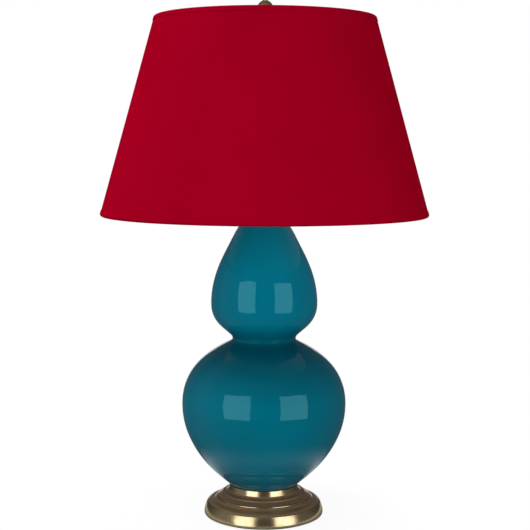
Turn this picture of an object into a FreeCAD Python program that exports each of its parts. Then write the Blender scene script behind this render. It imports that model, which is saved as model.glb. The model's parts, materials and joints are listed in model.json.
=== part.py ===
import FreeCAD, Part
import math
import os

# A double gourd table lamp: a glazed ceramic body on a stepped brass base, a tapered hardback shade
# hung on a harp, a keyed lampholder with its bulb, and a brass finial.
#
# Millimetres, +Z up. The origin is on the table, on the lamp's axis. The front is -Y, where the
# switch knob points, and the supply cord leaves at the back, +Y. Lengths along the axis stack up
# from the table, so every piece stands on the one below it.

V = FreeCAD.Vector
AXIS = V(0, 0, 1)
ORIGIN = V(0, 0, 0)

# ---- clearances -----------------------------------------------------------------------------
RUN_GAP = 0.08          # a piece that turns or slides on another, radially
FIT_GAP = 0.25          # a piece that is slipped over another and then clamped
GLUE_GAP = 0.08         # glue between layers of the shade
RING_EASE = 0.5         # between a shade's ring and the hem folded round it

# ---- base -----------------------------------------------------------------------------------
FELT_T = 1.6
FELT_INSET = 5.0        # felt edge, in from the base's edge
PLINTH_WALL = 1.2
FLANGE_W = 13.0         # rim turned in under the plinth
RIM_R = 1.9             # roll at the plinth's bottom edge
SKIRT_H = 2.0           # straight edge above that roll
OVOLO_H = 17.5          # large step: a steep wall, then a round shoulder
OVOLO_W = 13.2
WALL_H = 13.0
WALL_LEAN = 3.8
WALL_BULGE = 0.6
SHOULDER_BULGE = 1.7
COVE_H = 3.6            # hollow above the large step
COVE_W = 5.8
COVE_SAG = 0.8
NOTCH_W = 0.9           # groove under the bead
BEAD_H = 2.6
BEAD_BULGE = 1.0
TREAD_H = 4.0           # sloping step inside the bead
TREAD_W = 7.9
FILLET_H = 0.9          # thin upright ring around the plinth's flat top
FILLET_W = 1.2

CUP_FLARE_W = 9.6       # foot of the cup, out from its lip
CUP_FLARE_H = 3.7
CUP_FLARE_SAG = 1.1
CUP_LEAN = 1.6          # the cup's wall narrows by this up to its lip
CUP_EDGE_H = 1.1
CUP_EDGE_W = 1.0
CUP_WEB_T = 5.4
CUP_LIP_T = 1.3
CUP_DEPTH = 7.0         # lip above the cup's floor
CUP_GAP = 0.5           # cup's lip to the glaze

BALLAST_T = 15.0
BALLAST_EDGE_GAP = 1.2  # the ballast goes in past the plinth's turned-in rim
HUB_R_TOP = 19.0
HUB_FOOT_R = 25.0
NUT_POCKET_R = 17.0
NUT_POCKET_H = 7.6
CORD_SLOT_W = 9.0
CORD_SLOT_H = 11.0

BUSH_Z = 10.4           # centre of the cord's hole above the table
BUSH_BORE_R = 3.6
BUSH_R = 5.2
BUSH_FLANGE_R = 6.6
BUSH_FLANGE_T = 1.5
BUSH_BARB_R = 6.0
BUSH_BARB_T = 1.8
BUSH_INNER_END = 12.0   # inner end, in from the plinth's skirt

# ---- rod and its fasteners ------------------------------------------------------------------
ROD_R = 5.15
ROD_BORE_R = 3.3
ROD_TAIL = 1.2          # rod's lower end above the felt
ROD_HEAD = 2.2          # rod's upper end inside the lampholder
WASHER_R = 14.5
WASHER_T = 1.4
LOCK_R = 9.2
LOCK_T = 1.3
LOCK_SPLIT = 1.6
NUT_FLATS = 15.9
NUT_T = 4.0

# ---- gourd ----------------------------------------------------------------------------------
GASKET_T = 1.5
FOOT_GASKET_IN_R = 25.0
FOOT_R = 42.0
FOOT_ANGLE = 37.7       # of the wall above the foot, from level
FOOT_PULL = 26.9        # lengths of the curve's handles, in and out of each point of the profile
BELLY_R = 123.0
BELLY_RISE = 128.7      # above the foot
BELLY_PULL_IN = 70.7
BELLY_PULL_OUT = 73.7
WAIST_R = 47.5
WAIST_RISE = 97.8       # above the belly
WAIST_PULL_IN = 5.8
WAIST_PULL_OUT = 12.8
BULB_R = 79.5
BULB_RISE = 53.7        # above the waist
BULB_PULL_IN = 36.3
BULB_PULL_OUT = 45.4
SHOULDER_R = 47.3
SHOULDER_RISE = 98.7    # above the upper bulb
SHOULDER_ANGLE = 64.8
SHOULDER_PULL_IN = 23.1
SHOULDER_PULL_OUT = 18.0
NECK_R = 24.0
NECK_RISE = 54.1        # above the shoulder
NECK_PULL_IN = 20.0
CERAMIC_WALL = 6.5
FOOT_FLOOR_T = 8.0
FOOT_HOLE_R = 8.0

# ---- cap and spacer under the harp ----------------------------------------------------------
CAP_WALL = 1.2
CAP_SKIRT_H = 6.5
CAP_SKIRT_GAP = 1.6
CAP_SHOULDER_R = 2.6
CAP_BOSS_R = 12.0
CAP_BOSS_H = 5.0
CAP_COVE_R = 2.6
SPACER_H = 18.8
SPACER_END_R = 9.6
SPACER_WAIST_R = 7.0
SPACER_BAND_H = 2.4

# ---- harp -----------------------------------------------------------------------------------
SADDLE_T = 2.0
SADDLE_MID_R = 10.5
SADDLE_W = 9.6
SADDLE_TOE = 0.6        # strip beyond the leg's foot
TONGUE_X = 33.2
TONGUE_T = 1.6
TONGUE_W = 3.0
TONGUE_H = 12.0
WIRE_R = 1.8
HARP_H = 225.5          # saddle's underside to the top of the harp
HARP_HALF_W = 58.0
LEG_H = 50.0            # foot to the first bend
HIP_H = 88.0            # height of the second bend, above the saddle
CROWN_DROP = 70.0       # bend into the arch, below the top
CREST_X = 30.0          # bend at the top, out from the middle
SLEEVE_R = 4.1
SLEEVE_BORE_R = 3.2
SLEEVE_H = 14.0
SLEEVE_FLARE_R = 4.9
SLEEVE_FLARE_H = 2.4
SLEEVE_LIFT = 0.3
STUD_BLOCK_R = 8.2
STUD_BLOCK_T = 5.6
STUD_SHOULDER_R = 5.4
STUD_R = 3.15
STUD_THREAD_L = 10.0

# ---- lampholder -----------------------------------------------------------------------------
HUB_H = 6.5             # threaded hub between the saddle and the lampholder's cap
HUB_R = 7.4
SET_SCREW_R = 1.5
SET_SCREW_OUT_Y = 9.6
HOLDER_CAP_WALL = 0.8
HOLDER_CAP_FLAT_R = 9.0
HOLDER_CAP_DOME_H = 8.5
HOLDER_CAP_BULGE = 2.2
HOLDER_CAP_SKIRT_H = 5.0
SHELL_R = 19.4
SHELL_WALL = 0.5
SHELL_RISE = 9.0        # shell's lower edge above the cap's underside
SHELL_H = 42.5
SHELL_BEAD_RISE = 18.0
SHELL_BEAD_H = 3.0
SHELL_BEAD_BULGE = 0.9
INSULATOR_WALL = 0.7
INSULATOR_SHORT = 1.0   # insulator's edge, in from the shell's
CORE_RISE = 9.6         # core's underside above the cap's
CORE_H = 16.4
KNOB_RISE = 18.5        # switch shaft above the cap's underside
KNOB_SLOT_W = 10.0
SCREW_SHELL_WALL = 0.4
SCREW_SHELL_H = 24.5
SCREW_SHELL_HOLE_R = 7.4
LEAF_T = 0.5
LEAF_W = 5.0
LEAF_HALF_L = 5.6
LEAF_RISE = 2.9
TERMINAL_HEAD_R = 3.1
TERMINAL_HEAD_T = 1.9
TERMINAL_SHANK_R = 1.7
TERMINAL_SHANK_L = 5.0
TERMINAL_FACE_X = 13.4
TERMINAL_POCKET_W = 9.0
SHAFT_R = 2.0
SHAFT_IN_Y = 4.6        # ends of the switch shaft, in front of the axis
SHAFT_OUT_Y = 35.0
NOSE_R = 4.2
NOSE_Y = 21.0
ROTOR_R = 4.6
ROTOR_T = 4.0
ROTOR_Y = 7.4
ROTOR_LOBES = 4
ROTOR_NOTCH_R = 1.2
ROTOR_ROOM = 0.5
KNOB_R = 8.6
KNOB_IN_Y = 23.5
KNOB_OUT_Y = 37.5
KNOB_FLUTES = 12
KNOB_FLUTE_R = 1.1
KNOB_COLLAR_R = 5.2
KNOB_COLLAR_T = 2.2
KNOB_ROUND = 1.6

# ---- light bulb -----------------------------------------------------------------------------
BULB_CAP_R = 13.2
BULB_CAP_WALL = 0.4
BULB_CAP_H = 20.0
BULB_CONE_H = 2.6
BULB_TIP_R = 3.2
BULB_TIP_T = 1.4
BULB_BUTTON_R = 9.6
BULB_SEAL_R = 5.0
BULB_SEAL_H = 2.6
GLASS_R = 33.5
GLASS_NECK_R = 12.5
GLASS_WALL = 0.8
GLASS_NECK_IN = 8.0     # glass inside the cap
GLASS_FLARE_H = 74.5    # cap's edge to the glass's widest point
GLASS_NECK_PULL = 30.0
GLASS_WIDE_PULL = 30.0
STEM_R = 4.6
STEM_TIP_R = 2.2
STEM_FLARE_H = 4.0
STEM_H = 56.0
LEAD_R = 0.4
LEAD_H = 12.0
LEAD_SPREAD = 10.0
FILAMENT_R = 0.7

# ---- shade ----------------------------------------------------------------------------------
SHADE_BOTTOM_R = 242.3
SHADE_TOP_R = 161.3
SHADE_H = 289.4
SHADE_RECESS = 13.9     # shade's top edge above the spider's hub
FABRIC_T = 0.6
LINER_T = 0.6
RING_WIRE_R = 1.6
TRIM_T = 0.6
TRIM_OUT_W = 7.5        # hem on the outside
TRIM_IN_W = 9.5         # hem on the inside, past the ring
TRIM_RAMP_W = 1.4       # where the hem comes back from the ring to the liner
EDGE_DROP = 3.2         # cut edge of the cloth and the liner, in from the hem's edge
SPIDER_R = 14.0
SPIDER_T = 2.0
ARM_R = 1.6
ARM_START_R = 11.5
ARM_BEND_IN = 24.0      # bend of each arm, in from the ring
SPIDER_ARMS = 3
ARM_NOTCH = 0.4         # room in the hem around each arm

# ---- finial ---------------------------------------------------------------------------------
FINIAL_COLLAR_H = 5.5
FINIAL_COLLAR_R = 9.2
FINIAL_COLLAR_TOP_R = 6.2
FINIAL_NECK_R = 5.0
FINIAL_BALL_R = 11.8
FINIAL_BALL_RISE = 25.7  # ball's centre above the spider's hub
FINIAL_NUB_R = 3.8
FINIAL_NUB_H = 1.2
FINIAL_TOP_RISE = 39.5  # tip above the spider's hub
FINIAL_BORE_SPARE = 1.0
SEAM_GAP = 0.05         # between the flat faces of two pieces that turn on each other

# ---- heights, stacked from the table --------------------------------------------------------
Z_SKIRT = FELT_T + RIM_R
Z_OVOLO = Z_SKIRT + SKIRT_H
Z_COVE = Z_OVOLO + OVOLO_H
Z_BEAD = Z_COVE + COVE_H
Z_TREAD = Z_BEAD + BEAD_H
Z_FILLET = Z_TREAD + TREAD_H
Z_PLINTH_TOP = Z_FILLET + FILLET_H
Z_CUP_FLOOR = Z_PLINTH_TOP + CUP_WEB_T
Z_CUP_LIP = Z_CUP_FLOOR + CUP_DEPTH
Z_BALLAST = FELT_T + PLINTH_WALL
Z_BALLAST_TOP = Z_BALLAST + BALLAST_T
Z_POCKET = Z_BALLAST + NUT_POCKET_H
Z_FOOT = Z_CUP_FLOOR + GASKET_T
Z_BELLY = Z_FOOT + BELLY_RISE
Z_WAIST = Z_BELLY + WAIST_RISE
Z_BULB = Z_WAIST + BULB_RISE
Z_SHOULDER = Z_BULB + SHOULDER_RISE
Z_RIM = Z_SHOULDER + NECK_RISE
Z_CAP_SEAT = Z_RIM + GASKET_T
Z_CAP_FLAT = Z_CAP_SEAT + CAP_WALL
Z_CAP_TOP = Z_CAP_FLAT + CAP_BOSS_H
Z_SADDLE = Z_CAP_TOP + SPACER_H
Z_SADDLE_TOP = Z_SADDLE + SADDLE_T
Z_HARP_TOP = Z_SADDLE + HARP_H
Z_SPIDER = Z_HARP_TOP + SEAM_GAP
Z_SPIDER_TOP = Z_SPIDER + SPIDER_T
Z_SHADE_TOP = Z_SPIDER_TOP + SHADE_RECESS
Z_SHADE_BOTTOM = Z_SHADE_TOP - SHADE_H
Z_FINIAL = Z_SPIDER_TOP + SEAM_GAP
Z_FINIAL_KNOB = Z_FINIAL + FINIAL_COLLAR_H + SEAM_GAP
Z_STUD_TOP = Z_SPIDER_TOP + STUD_THREAD_L
Z_HOLDER = Z_SADDLE_TOP + HUB_H
Z_SHELL = Z_HOLDER + SHELL_RISE
Z_SHELL_TOP = Z_SHELL + SHELL_H
Z_CORE = Z_HOLDER + CORE_RISE
Z_CORE_TOP = Z_CORE + CORE_H
Z_KNOB = Z_HOLDER + KNOB_RISE
Z_BULB_TIP = Z_CORE_TOP + LEAF_RISE + LEAF_T + SEAM_GAP
Z_BULB_SEAL = Z_BULB_TIP + BULB_TIP_T + SEAM_GAP
Z_BULB_CONE = Z_BULB_SEAL + BULB_SEAL_H
Z_BULB_CAP = Z_BULB_CONE + BULB_CONE_H
Z_BULB_CAP_TOP = Z_BULB_CAP + BULB_CAP_H
Z_GLASS_EDGE = Z_BULB_CAP_TOP - GLASS_NECK_IN
Z_GLASS_WIDE = Z_BULB_CAP_TOP + GLASS_FLARE_H

# ---- radii that follow from the fits --------------------------------------------------------
ROD_HOLE_R = ROD_R + FIT_GAP
LEG_X = TONGUE_X + TONGUE_T + WIRE_R
SLEEVE_X = (TONGUE_X + LEG_X + WIRE_R) / 2
SHELL_IN_R = SHELL_R - SHELL_WALL
INSULATOR_R = SHELL_IN_R - GLUE_GAP
CORE_R = INSULATOR_R - INSULATOR_WALL - FIT_GAP
SCREW_SHELL_IN_R = BULB_CAP_R + RUN_GAP
SPIDER_HOLE_R = STUD_SHOULDER_R + RUN_GAP
FINIAL_BORE_R = STUD_R + RUN_GAP


# ---- drawing helpers ------------------------------------------------------------------------
def point(r, z):
    """A point of a profile that is turned about the lamp's axis: radius and height."""
    return V(r, 0, z)


def edges(start, *steps):
    """Joined edges from start. A step is an end point, or (through, end) for an arc."""
    made, here = [], point(*start)
    for step in steps:
        if isinstance(step[0], tuple):
            through, end = point(*step[0]), point(*step[1])
            made.append(Part.Arc(here, through, end).toShape())
        else:
            end = point(*step)
            made.append(Part.LineSegment(here, end).toShape())
        here = end
    return made


def turned(profile):
    """The solid that a closed profile makes when it is turned about the lamp's axis."""
    wire = Part.Wire(Part.__sortEdges__(profile))
    return Part.Face(wire).revolve(ORIGIN, AXIS, 360)


def ring(r_in, r_out, z, height):
    """A flat ring or disc that stands at height z."""
    if r_in == 0:
        return Part.makeCylinder(r_out, height, V(0, 0, z))
    top = z + height
    return turned(edges((r_in, z), (r_out, z), (r_out, top), (r_in, top), (r_in, z)))


def bulged(start, end, height):
    """The middle of an arc from start to end that stands out by height, on the chord's right."""
    dr, dz = end[0] - start[0], end[1] - start[1]
    length = math.hypot(dr, dz)
    return ((start[0] + end[0]) / 2 + height * dz / length, (start[1] + end[1]) / 2 - height * dr / length)


def domed(rim, tip_z):
    """The middle of a dome's arc, from its rim to its tip on the axis."""
    height = tip_z - rim[1]
    r = (rim[0] ** 2 + height ** 2) / (2 * height)
    half = math.asin(rim[0] / r) / 2
    return (r * math.sin(half), tip_z - r + r * math.cos(half))


def sheet_metal(skin, wall):
    """The turned solid of a sheet: its outer face, and a wall on the left of that face's profile."""
    face = Part.Wire(skin).makeOffset2D(wall, join=0, fill=True, openResult=True)
    return face.revolve(ORIGIN, AXIS, 360)


def bar(r, start, end):
    """A round bar from one point to another."""
    return Part.makeCylinder(r, (end - start).Length, start, end - start)


def block(x, y, z):
    """A box between two limits on each axis."""
    return Part.makeBox(x[1] - x[0], y[1] - y[0], z[1] - z[0], V(x[0], y[0], z[0]))


def bent_path(points, share=0.45):
    """Straight runs joined by tangent arcs, each as large as its two runs allow."""
    made, here = [], points[0]
    for before, corner, after in zip(points, points[1:], points[2:]):
        back, ahead = before - corner, after - corner
        half = (math.pi - back.getAngle(ahead)) / 2
        reach = share * min(back.Length, ahead.Length)
        radius = reach / math.tan(half)
        into = corner + V(back).normalize() * reach
        out = corner + V(ahead).normalize() * reach
        inward = (V(back).normalize() + V(ahead).normalize()).normalize()
        middle = corner + inward * (radius / math.cos(half) - radius)
        made.append(Part.LineSegment(here, into).toShape())
        made.append(Part.Arc(into, middle, out).toShape())
        here = out
    made.append(Part.LineSegment(here, points[-1]).toShape())
    return Part.Wire(made)


def wire_rod(path, r):
    """A round wire along a path."""
    start = path.Edges[0]
    section = Part.makeCircle(r, start.valueAt(start.FirstParameter), start.tangentAt(start.FirstParameter))
    return path.makePipeShell([Part.Wire(section)], True, True)


def curve(poles):
    """One smooth stretch of a profile, from its first pole to its last."""
    stretch = Part.BezierCurve()
    stretch.setPoles([point(*p) for p in poles])
    return stretch


def inset(poles, wall):
    """The four poles of a rising stretch, moved in by a wall: each leg moves square to itself."""
    normals = []
    for (r0, z0), (r1, z1) in zip(poles, poles[1:]):
        length = math.hypot(r1 - r0, z1 - z0)
        normals.append(((z0 - z1) / length, (r1 - r0) / length))
    before, after = [normals[0]] + normals, normals + [normals[-1]]
    moved = []
    for (r, z), (a_r, a_z), (b_r, b_z) in zip(poles, before, after):
        reach = wall / (1 + a_r * b_r + a_z * b_z)
        moved.append((r + reach * (a_r + b_r), z + reach * (a_z + b_z)))
    return moved


# ---- gourd ----------------------------------------------------------------------------------
def gourd_curves(wall):
    """The gourd's profile from foot to rim, set in by a wall."""
    foot, lean = math.radians(FOOT_ANGLE), math.radians(SHOULDER_ANGLE)
    stations = [
        (FOOT_R, Z_FOOT, math.cos(foot), math.sin(foot), 0, FOOT_PULL),
        (BELLY_R, Z_BELLY, 0, 1, BELLY_PULL_IN, BELLY_PULL_OUT),
        (WAIST_R, Z_WAIST, 0, 1, WAIST_PULL_IN, WAIST_PULL_OUT),
        (BULB_R, Z_BULB, 0, 1, BULB_PULL_IN, BULB_PULL_OUT),
        (SHOULDER_R, Z_SHOULDER, -math.cos(lean), math.sin(lean), SHOULDER_PULL_IN, SHOULDER_PULL_OUT),
        (NECK_R, Z_RIM, 0, 1, NECK_PULL_IN, 0),
    ]
    made = []
    for low, high in zip(stations, stations[1:]):
        leaving = (low[0] + low[5] * low[2], low[1] + low[5] * low[3])
        arriving = (high[0] - high[4] * high[2], high[1] - high[4] * high[3])
        made.append(curve(inset([low[:2], leaving, arriving, high[:2]], wall)))
    return made


def radius_at(stretch, z):
    """Radius of a rising curve at a height."""
    low, high = 0.0, 1.0
    for _ in range(40):
        middle = (low + high) / 2
        if stretch.value(middle).z < z:
            low = middle
        else:
            high = middle
    return stretch.value(low).x


def gourd_body():
    """Thrown ceramic gourd, open at the rim, with a hole for the rod in its floor."""
    outside = [c.toShape() for c in gourd_curves(0)]
    whole = turned(outside + edges((NECK_R, Z_RIM), (0, Z_RIM), (0, Z_FOOT), (FOOT_R, Z_FOOT)))
    curves = gourd_curves(CERAMIC_WALL)
    low, high = curves[0].value(0), curves[-1].value(1)
    above = Z_RIM + 1
    closing = edges((high.x, high.z), (high.x, above), (0, above), (0, low.z), (low.x, low.z))
    hollow = turned([c.toShape() for c in curves] + closing)
    hollow = hollow.cut(ring(0, BELLY_R, Z_FOOT, FOOT_FLOOR_T))
    return whole.cut(hollow).cut(ring(0, FOOT_HOLE_R, Z_FOOT - 1, FOOT_FLOOR_T + 2))


def foot_gasket():
    return ring(FOOT_GASKET_IN_R, FOOT_R, Z_CUP_FLOOR, GASKET_T)


def rim_gasket():
    return ring(NECK_R - CERAMIC_WALL, NECK_R, Z_RIM, GASKET_T)


# ---- base -----------------------------------------------------------------------------------
CUP_IN_R = radius_at(gourd_curves(0)[0], Z_CUP_LIP) + CUP_GAP
CUP_LIP_R = CUP_IN_R + CUP_LIP_T
CUP_R = CUP_LIP_R + CUP_FLARE_W
FILLET_R = CUP_R + FILLET_W
BEAD_ROOT_R = FILLET_R + TREAD_W
COVE_R = BEAD_ROOT_R + NOTCH_W
OVOLO_R = COVE_R + COVE_W
BASE_R = OVOLO_R + OVOLO_W
RIM_HOLE_R = BASE_R - FLANGE_W
BALLAST_R = RIM_HOLE_R - BALLAST_EDGE_GAP


def ovolo(inset_by):
    """The large step's wall and shoulder, bottom to top, set in."""
    r, z = BASE_R - inset_by, Z_OVOLO - inset_by
    knee = (r - WALL_LEAN, z + WALL_H)
    top = (OVOLO_R - inset_by, Z_COVE - inset_by)
    return [
        (r, z),
        (bulged((r, z), knee, WALL_BULGE), knee),
        (bulged(knee, top, SHOULDER_BULGE), top),
    ]


def plinth_skin(inset_by):
    """The plinth's profile from its turned-in rim to the rod's hole, set in."""
    low = FELT_T + inset_by
    roll = (RIM_R - inset_by) * math.sqrt(0.5)
    cove_in = (OVOLO_R - inset_by, Z_COVE - inset_by)
    cove_out = (COVE_R - inset_by, Z_BEAD - inset_by)
    bead_low = (BEAD_ROOT_R - inset_by, Z_BEAD - inset_by)
    bead_high = (BEAD_ROOT_R - inset_by, Z_TREAD - inset_by)
    return edges(
        (RIM_HOLE_R, low),
        (BASE_R - RIM_R, low),
        ((BASE_R - RIM_R + roll, Z_SKIRT - roll), (BASE_R - inset_by, Z_SKIRT)),
        *ovolo(inset_by),
        (bulged(cove_in, cove_out, -COVE_SAG), cove_out),
        bead_low,
        (bulged(bead_low, bead_high, BEAD_BULGE), bead_high),
        (FILLET_R - inset_by, Z_FILLET - inset_by),
        (FILLET_R - inset_by, Z_PLINTH_TOP - inset_by),
        (ROD_HOLE_R, Z_PLINTH_TOP - inset_by),
    )


def base_plinth():
    """Spun brass foot with a turned-in rim, and a hole at the back for the cord's bushing."""
    ends = edges((RIM_HOLE_R, FELT_T), (RIM_HOLE_R, FELT_T + PLINTH_WALL))
    ends += edges((ROD_HOLE_R, Z_PLINTH_TOP), (ROD_HOLE_R, Z_PLINTH_TOP - PLINTH_WALL))
    shell = turned(plinth_skin(0) + plinth_skin(PLINTH_WALL) + ends)
    return shell.cut(bar(BUSH_R + FIT_GAP, V(0, BALLAST_R, BUSH_Z), V(0, BASE_R + 5, BUSH_Z)))


def base_felt_pad():
    return ring(0, BASE_R - FELT_INSET, 0, FELT_T)


def base_ballast():
    """Cast iron disc with a hub up to the plinth's top, a pocket for the nut and a cord slot."""
    hub_top = Z_PLINTH_TOP - PLINTH_WALL
    body = turned(edges(
        (ROD_HOLE_R, Z_BALLAST),
        (BALLAST_R, Z_BALLAST),
        (BALLAST_R, Z_BALLAST_TOP),
        (HUB_FOOT_R, Z_BALLAST_TOP),
        (HUB_R_TOP, hub_top),
        (ROD_HOLE_R, hub_top),
        (ROD_HOLE_R, Z_BALLAST),
    ))
    pocket = ring(0, NUT_POCKET_R, Z_BALLAST - 1, NUT_POCKET_H + 1)
    half = CORD_SLOT_W / 2
    slot = block((-half, half), (0, BALLAST_R + 5), (Z_BALLAST - 1, Z_BALLAST + CORD_SLOT_H))
    near = block((-half, half), (0, NUT_POCKET_R - 2), (Z_POCKET, Z_BALLAST_TOP + 20))
    return body.cut(pocket).cut(slot.cut(near))


def base_washer():
    return ring(ROD_HOLE_R, WASHER_R, Z_POCKET - WASHER_T, WASHER_T)


def lock_washer():
    """Split spring washer."""
    z = Z_POCKET - WASHER_T - LOCK_T
    split = block((0, LOCK_R + 1), (-LOCK_SPLIT / 2, LOCK_SPLIT / 2), (z - 1, z + LOCK_T + 1))
    return ring(ROD_HOLE_R, LOCK_R, z, LOCK_T).cut(split)


def hex_nut():
    z = Z_POCKET - WASHER_T - LOCK_T - NUT_T
    corner = NUT_FLATS / math.sqrt(3)
    turns = [math.radians(60 * n) for n in range(7)]
    outline = Part.makePolygon([V(corner * math.cos(a), corner * math.sin(a), z) for a in turns])
    solid = Part.Face(outline).extrude(V(0, 0, NUT_T))
    return solid.cut(ring(0, ROD_HOLE_R, z - 1, NUT_T + 2))


def cord_bushing():
    """Rubber grommet in the plinth's back wall: a flange on each side of it and a barrel."""
    def within(step_out):
        """All that lies inside the plinth's skin, moved out by a step."""
        lines = edges((0, 0), (BASE_R + step_out, 0), *ovolo(-step_out), (0, Z_COVE + step_out), (0, 0))
        return turned(lines)

    far = BASE_R + 10
    inner_end = BASE_R - BUSH_INNER_END
    barrel = bar(BUSH_R, V(0, inner_end, BUSH_Z), V(0, far, BUSH_Z))
    flange = bar(BUSH_FLANGE_R, V(0, inner_end, BUSH_Z), V(0, far, BUSH_Z))
    barb = bar(BUSH_BARB_R, V(0, inner_end, BUSH_Z), V(0, inner_end + BUSH_BARB_T, BUSH_Z))
    outside, skin = within(BUSH_FLANGE_T), within(0)
    whole = barrel.common(outside).fuse([flange.common(outside).cut(skin), barb])
    return whole.cut(bar(BUSH_BORE_R, V(0, inner_end - 1, BUSH_Z), V(0, far, BUSH_Z))).removeSplitter()


def seat_cup():
    """Cast brass cup that the gourd's foot stands in."""
    edge_z = Z_PLINTH_TOP + CUP_EDGE_H
    low, high = (CUP_R - CUP_EDGE_W, edge_z), (CUP_LIP_R + CUP_LEAN, edge_z + CUP_FLARE_H)
    return turned(edges(
        (ROD_HOLE_R, Z_PLINTH_TOP),
        (CUP_R, Z_PLINTH_TOP),
        (CUP_R, edge_z),
        low,
        (bulged(low, high, -CUP_FLARE_SAG), high),
        (CUP_LIP_R, Z_CUP_LIP),
        (CUP_IN_R, Z_CUP_LIP),
        (CUP_IN_R, Z_CUP_FLOOR),
        (ROD_HOLE_R, Z_CUP_FLOOR),
        (ROD_HOLE_R, Z_PLINTH_TOP),
    ))


# ---- rod and neck ---------------------------------------------------------------------------
def threaded_rod():
    z = FELT_T + ROD_TAIL
    return ring(ROD_BORE_R, ROD_R, z, Z_HOLDER + ROD_HEAD - z)


def vase_cap():
    """Spun brass cap over the gourd's rim, with a raised boss."""
    r = NECK_R + CAP_SKIRT_GAP + CAP_WALL
    turn, cove = CAP_SHOULDER_R, CAP_COVE_R
    hypot = math.sqrt(0.5)
    skin = edges(
        (r, Z_CAP_SEAT - CAP_SKIRT_H),
        (r, Z_CAP_FLAT - turn),
        ((r - turn + turn * hypot, Z_CAP_FLAT - turn + turn * hypot), (r - turn, Z_CAP_FLAT)),
        (CAP_BOSS_R + cove, Z_CAP_FLAT),
        (
            (CAP_BOSS_R + cove - cove * hypot, Z_CAP_FLAT + cove - cove * hypot),
            (CAP_BOSS_R, Z_CAP_FLAT + cove),
        ),
        (CAP_BOSS_R, Z_CAP_TOP),
        (ROD_HOLE_R, Z_CAP_TOP),
    )
    return sheet_metal(skin, CAP_WALL)


def neck_spacer():
    """Turned brass spacer between the vase cap and the harp's saddle."""
    low, high = Z_CAP_TOP + SPACER_BAND_H, Z_SADDLE - SPACER_BAND_H
    middle = (low + high) / 2
    return turned(edges(
        (ROD_HOLE_R, Z_CAP_TOP),
        (SPACER_END_R, Z_CAP_TOP),
        (SPACER_END_R, low),
        ((SPACER_WAIST_R, middle), (SPACER_END_R, high)),
        (SPACER_END_R, Z_SADDLE),
        (ROD_HOLE_R, Z_SADDLE),
        (ROD_HOLE_R, Z_CAP_TOP),
    ))


# ---- harp -----------------------------------------------------------------------------------
def harp_saddle():
    """Steel strip on the rod, with a tongue turned up beside each leg of the harp."""
    reach, half = LEG_X + WIRE_R + SADDLE_TOE, SADDLE_W / 2
    strip = block((-reach, reach), (-half, half), (Z_SADDLE, Z_SADDLE_TOP))
    pieces = [ring(0, SADDLE_MID_R, Z_SADDLE, SADDLE_T)]
    for side in (-1, 1):
        x = sorted((side * TONGUE_X, side * (TONGUE_X + TONGUE_T)))
        pieces.append(block(x, (-TONGUE_W / 2, TONGUE_W / 2), (Z_SADDLE, Z_SADDLE_TOP + TONGUE_H)))
    hole = ring(0, ROD_HOLE_R, Z_SADDLE - 1, SADDLE_T + 2)
    return strip.fuse(pieces).removeSplitter().cut(hole)


def harp_path():
    side = [
        (LEG_X, Z_SADDLE_TOP),
        (LEG_X, Z_SADDLE_TOP + LEG_H),
        (HARP_HALF_W - WIRE_R, Z_SADDLE + HIP_H),
        (HARP_HALF_W - WIRE_R, Z_HARP_TOP - CROWN_DROP),
        (CREST_X, Z_HARP_TOP - STUD_BLOCK_T / 2),
    ]
    right = [V(x, 0, z) for x, z in side]
    left = [V(-x, 0, z) for x, z in reversed(side)]
    return bent_path(right + left)


def harp_wire():
    return wire_rod(harp_path(), WIRE_R)


def harp_stud():
    """Brass block on the harp's top, with a shoulder for the spider and a thread for the finial."""
    z = Z_HARP_TOP - STUD_BLOCK_T
    solid = ring(0, STUD_BLOCK_R, z, STUD_BLOCK_T)
    shoulder = ring(0, STUD_SHOULDER_R, Z_HARP_TOP - 1, SPIDER_T + 1 - SEAM_GAP)
    thread = ring(0, STUD_R, Z_HARP_TOP - 1, Z_STUD_TOP - Z_HARP_TOP + 1)
    solid = solid.fuse([shoulder, thread]).removeSplitter()
    return solid.cut(wire_rod(harp_path(), WIRE_R + SEAM_GAP))


def harp_sleeve(side):
    """Brass sleeve that holds a leg of the harp and the saddle's tongue together."""
    z = Z_SADDLE_TOP + SLEEVE_LIFT
    solid = turned(edges(
        (SLEEVE_BORE_R, z),
        (SLEEVE_FLARE_R, z),
        (SLEEVE_FLARE_R, z + 1),
        (SLEEVE_R, z + SLEEVE_FLARE_H),
        (SLEEVE_R, z + SLEEVE_H),
        (SLEEVE_BORE_R, z + SLEEVE_H),
        (SLEEVE_BORE_R, z),
    ))
    return solid.translated(V(side * SLEEVE_X, 0, 0))


# ---- lampholder -----------------------------------------------------------------------------
def along_y(r, near, far, z=Z_KNOB):
    """A round bar toward the front at height z, between two distances from the axis."""
    return bar(r, V(0, -near, z), V(0, -far, z))


def knob_slot(z):
    """Room for the switch's nose in the shell and the insulator, open at their lower edge z."""
    half = KNOB_SLOT_W / 2
    return block((-half, half), (-SHELL_R - 2, 0), (z - 1, Z_KNOB + half))


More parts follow.
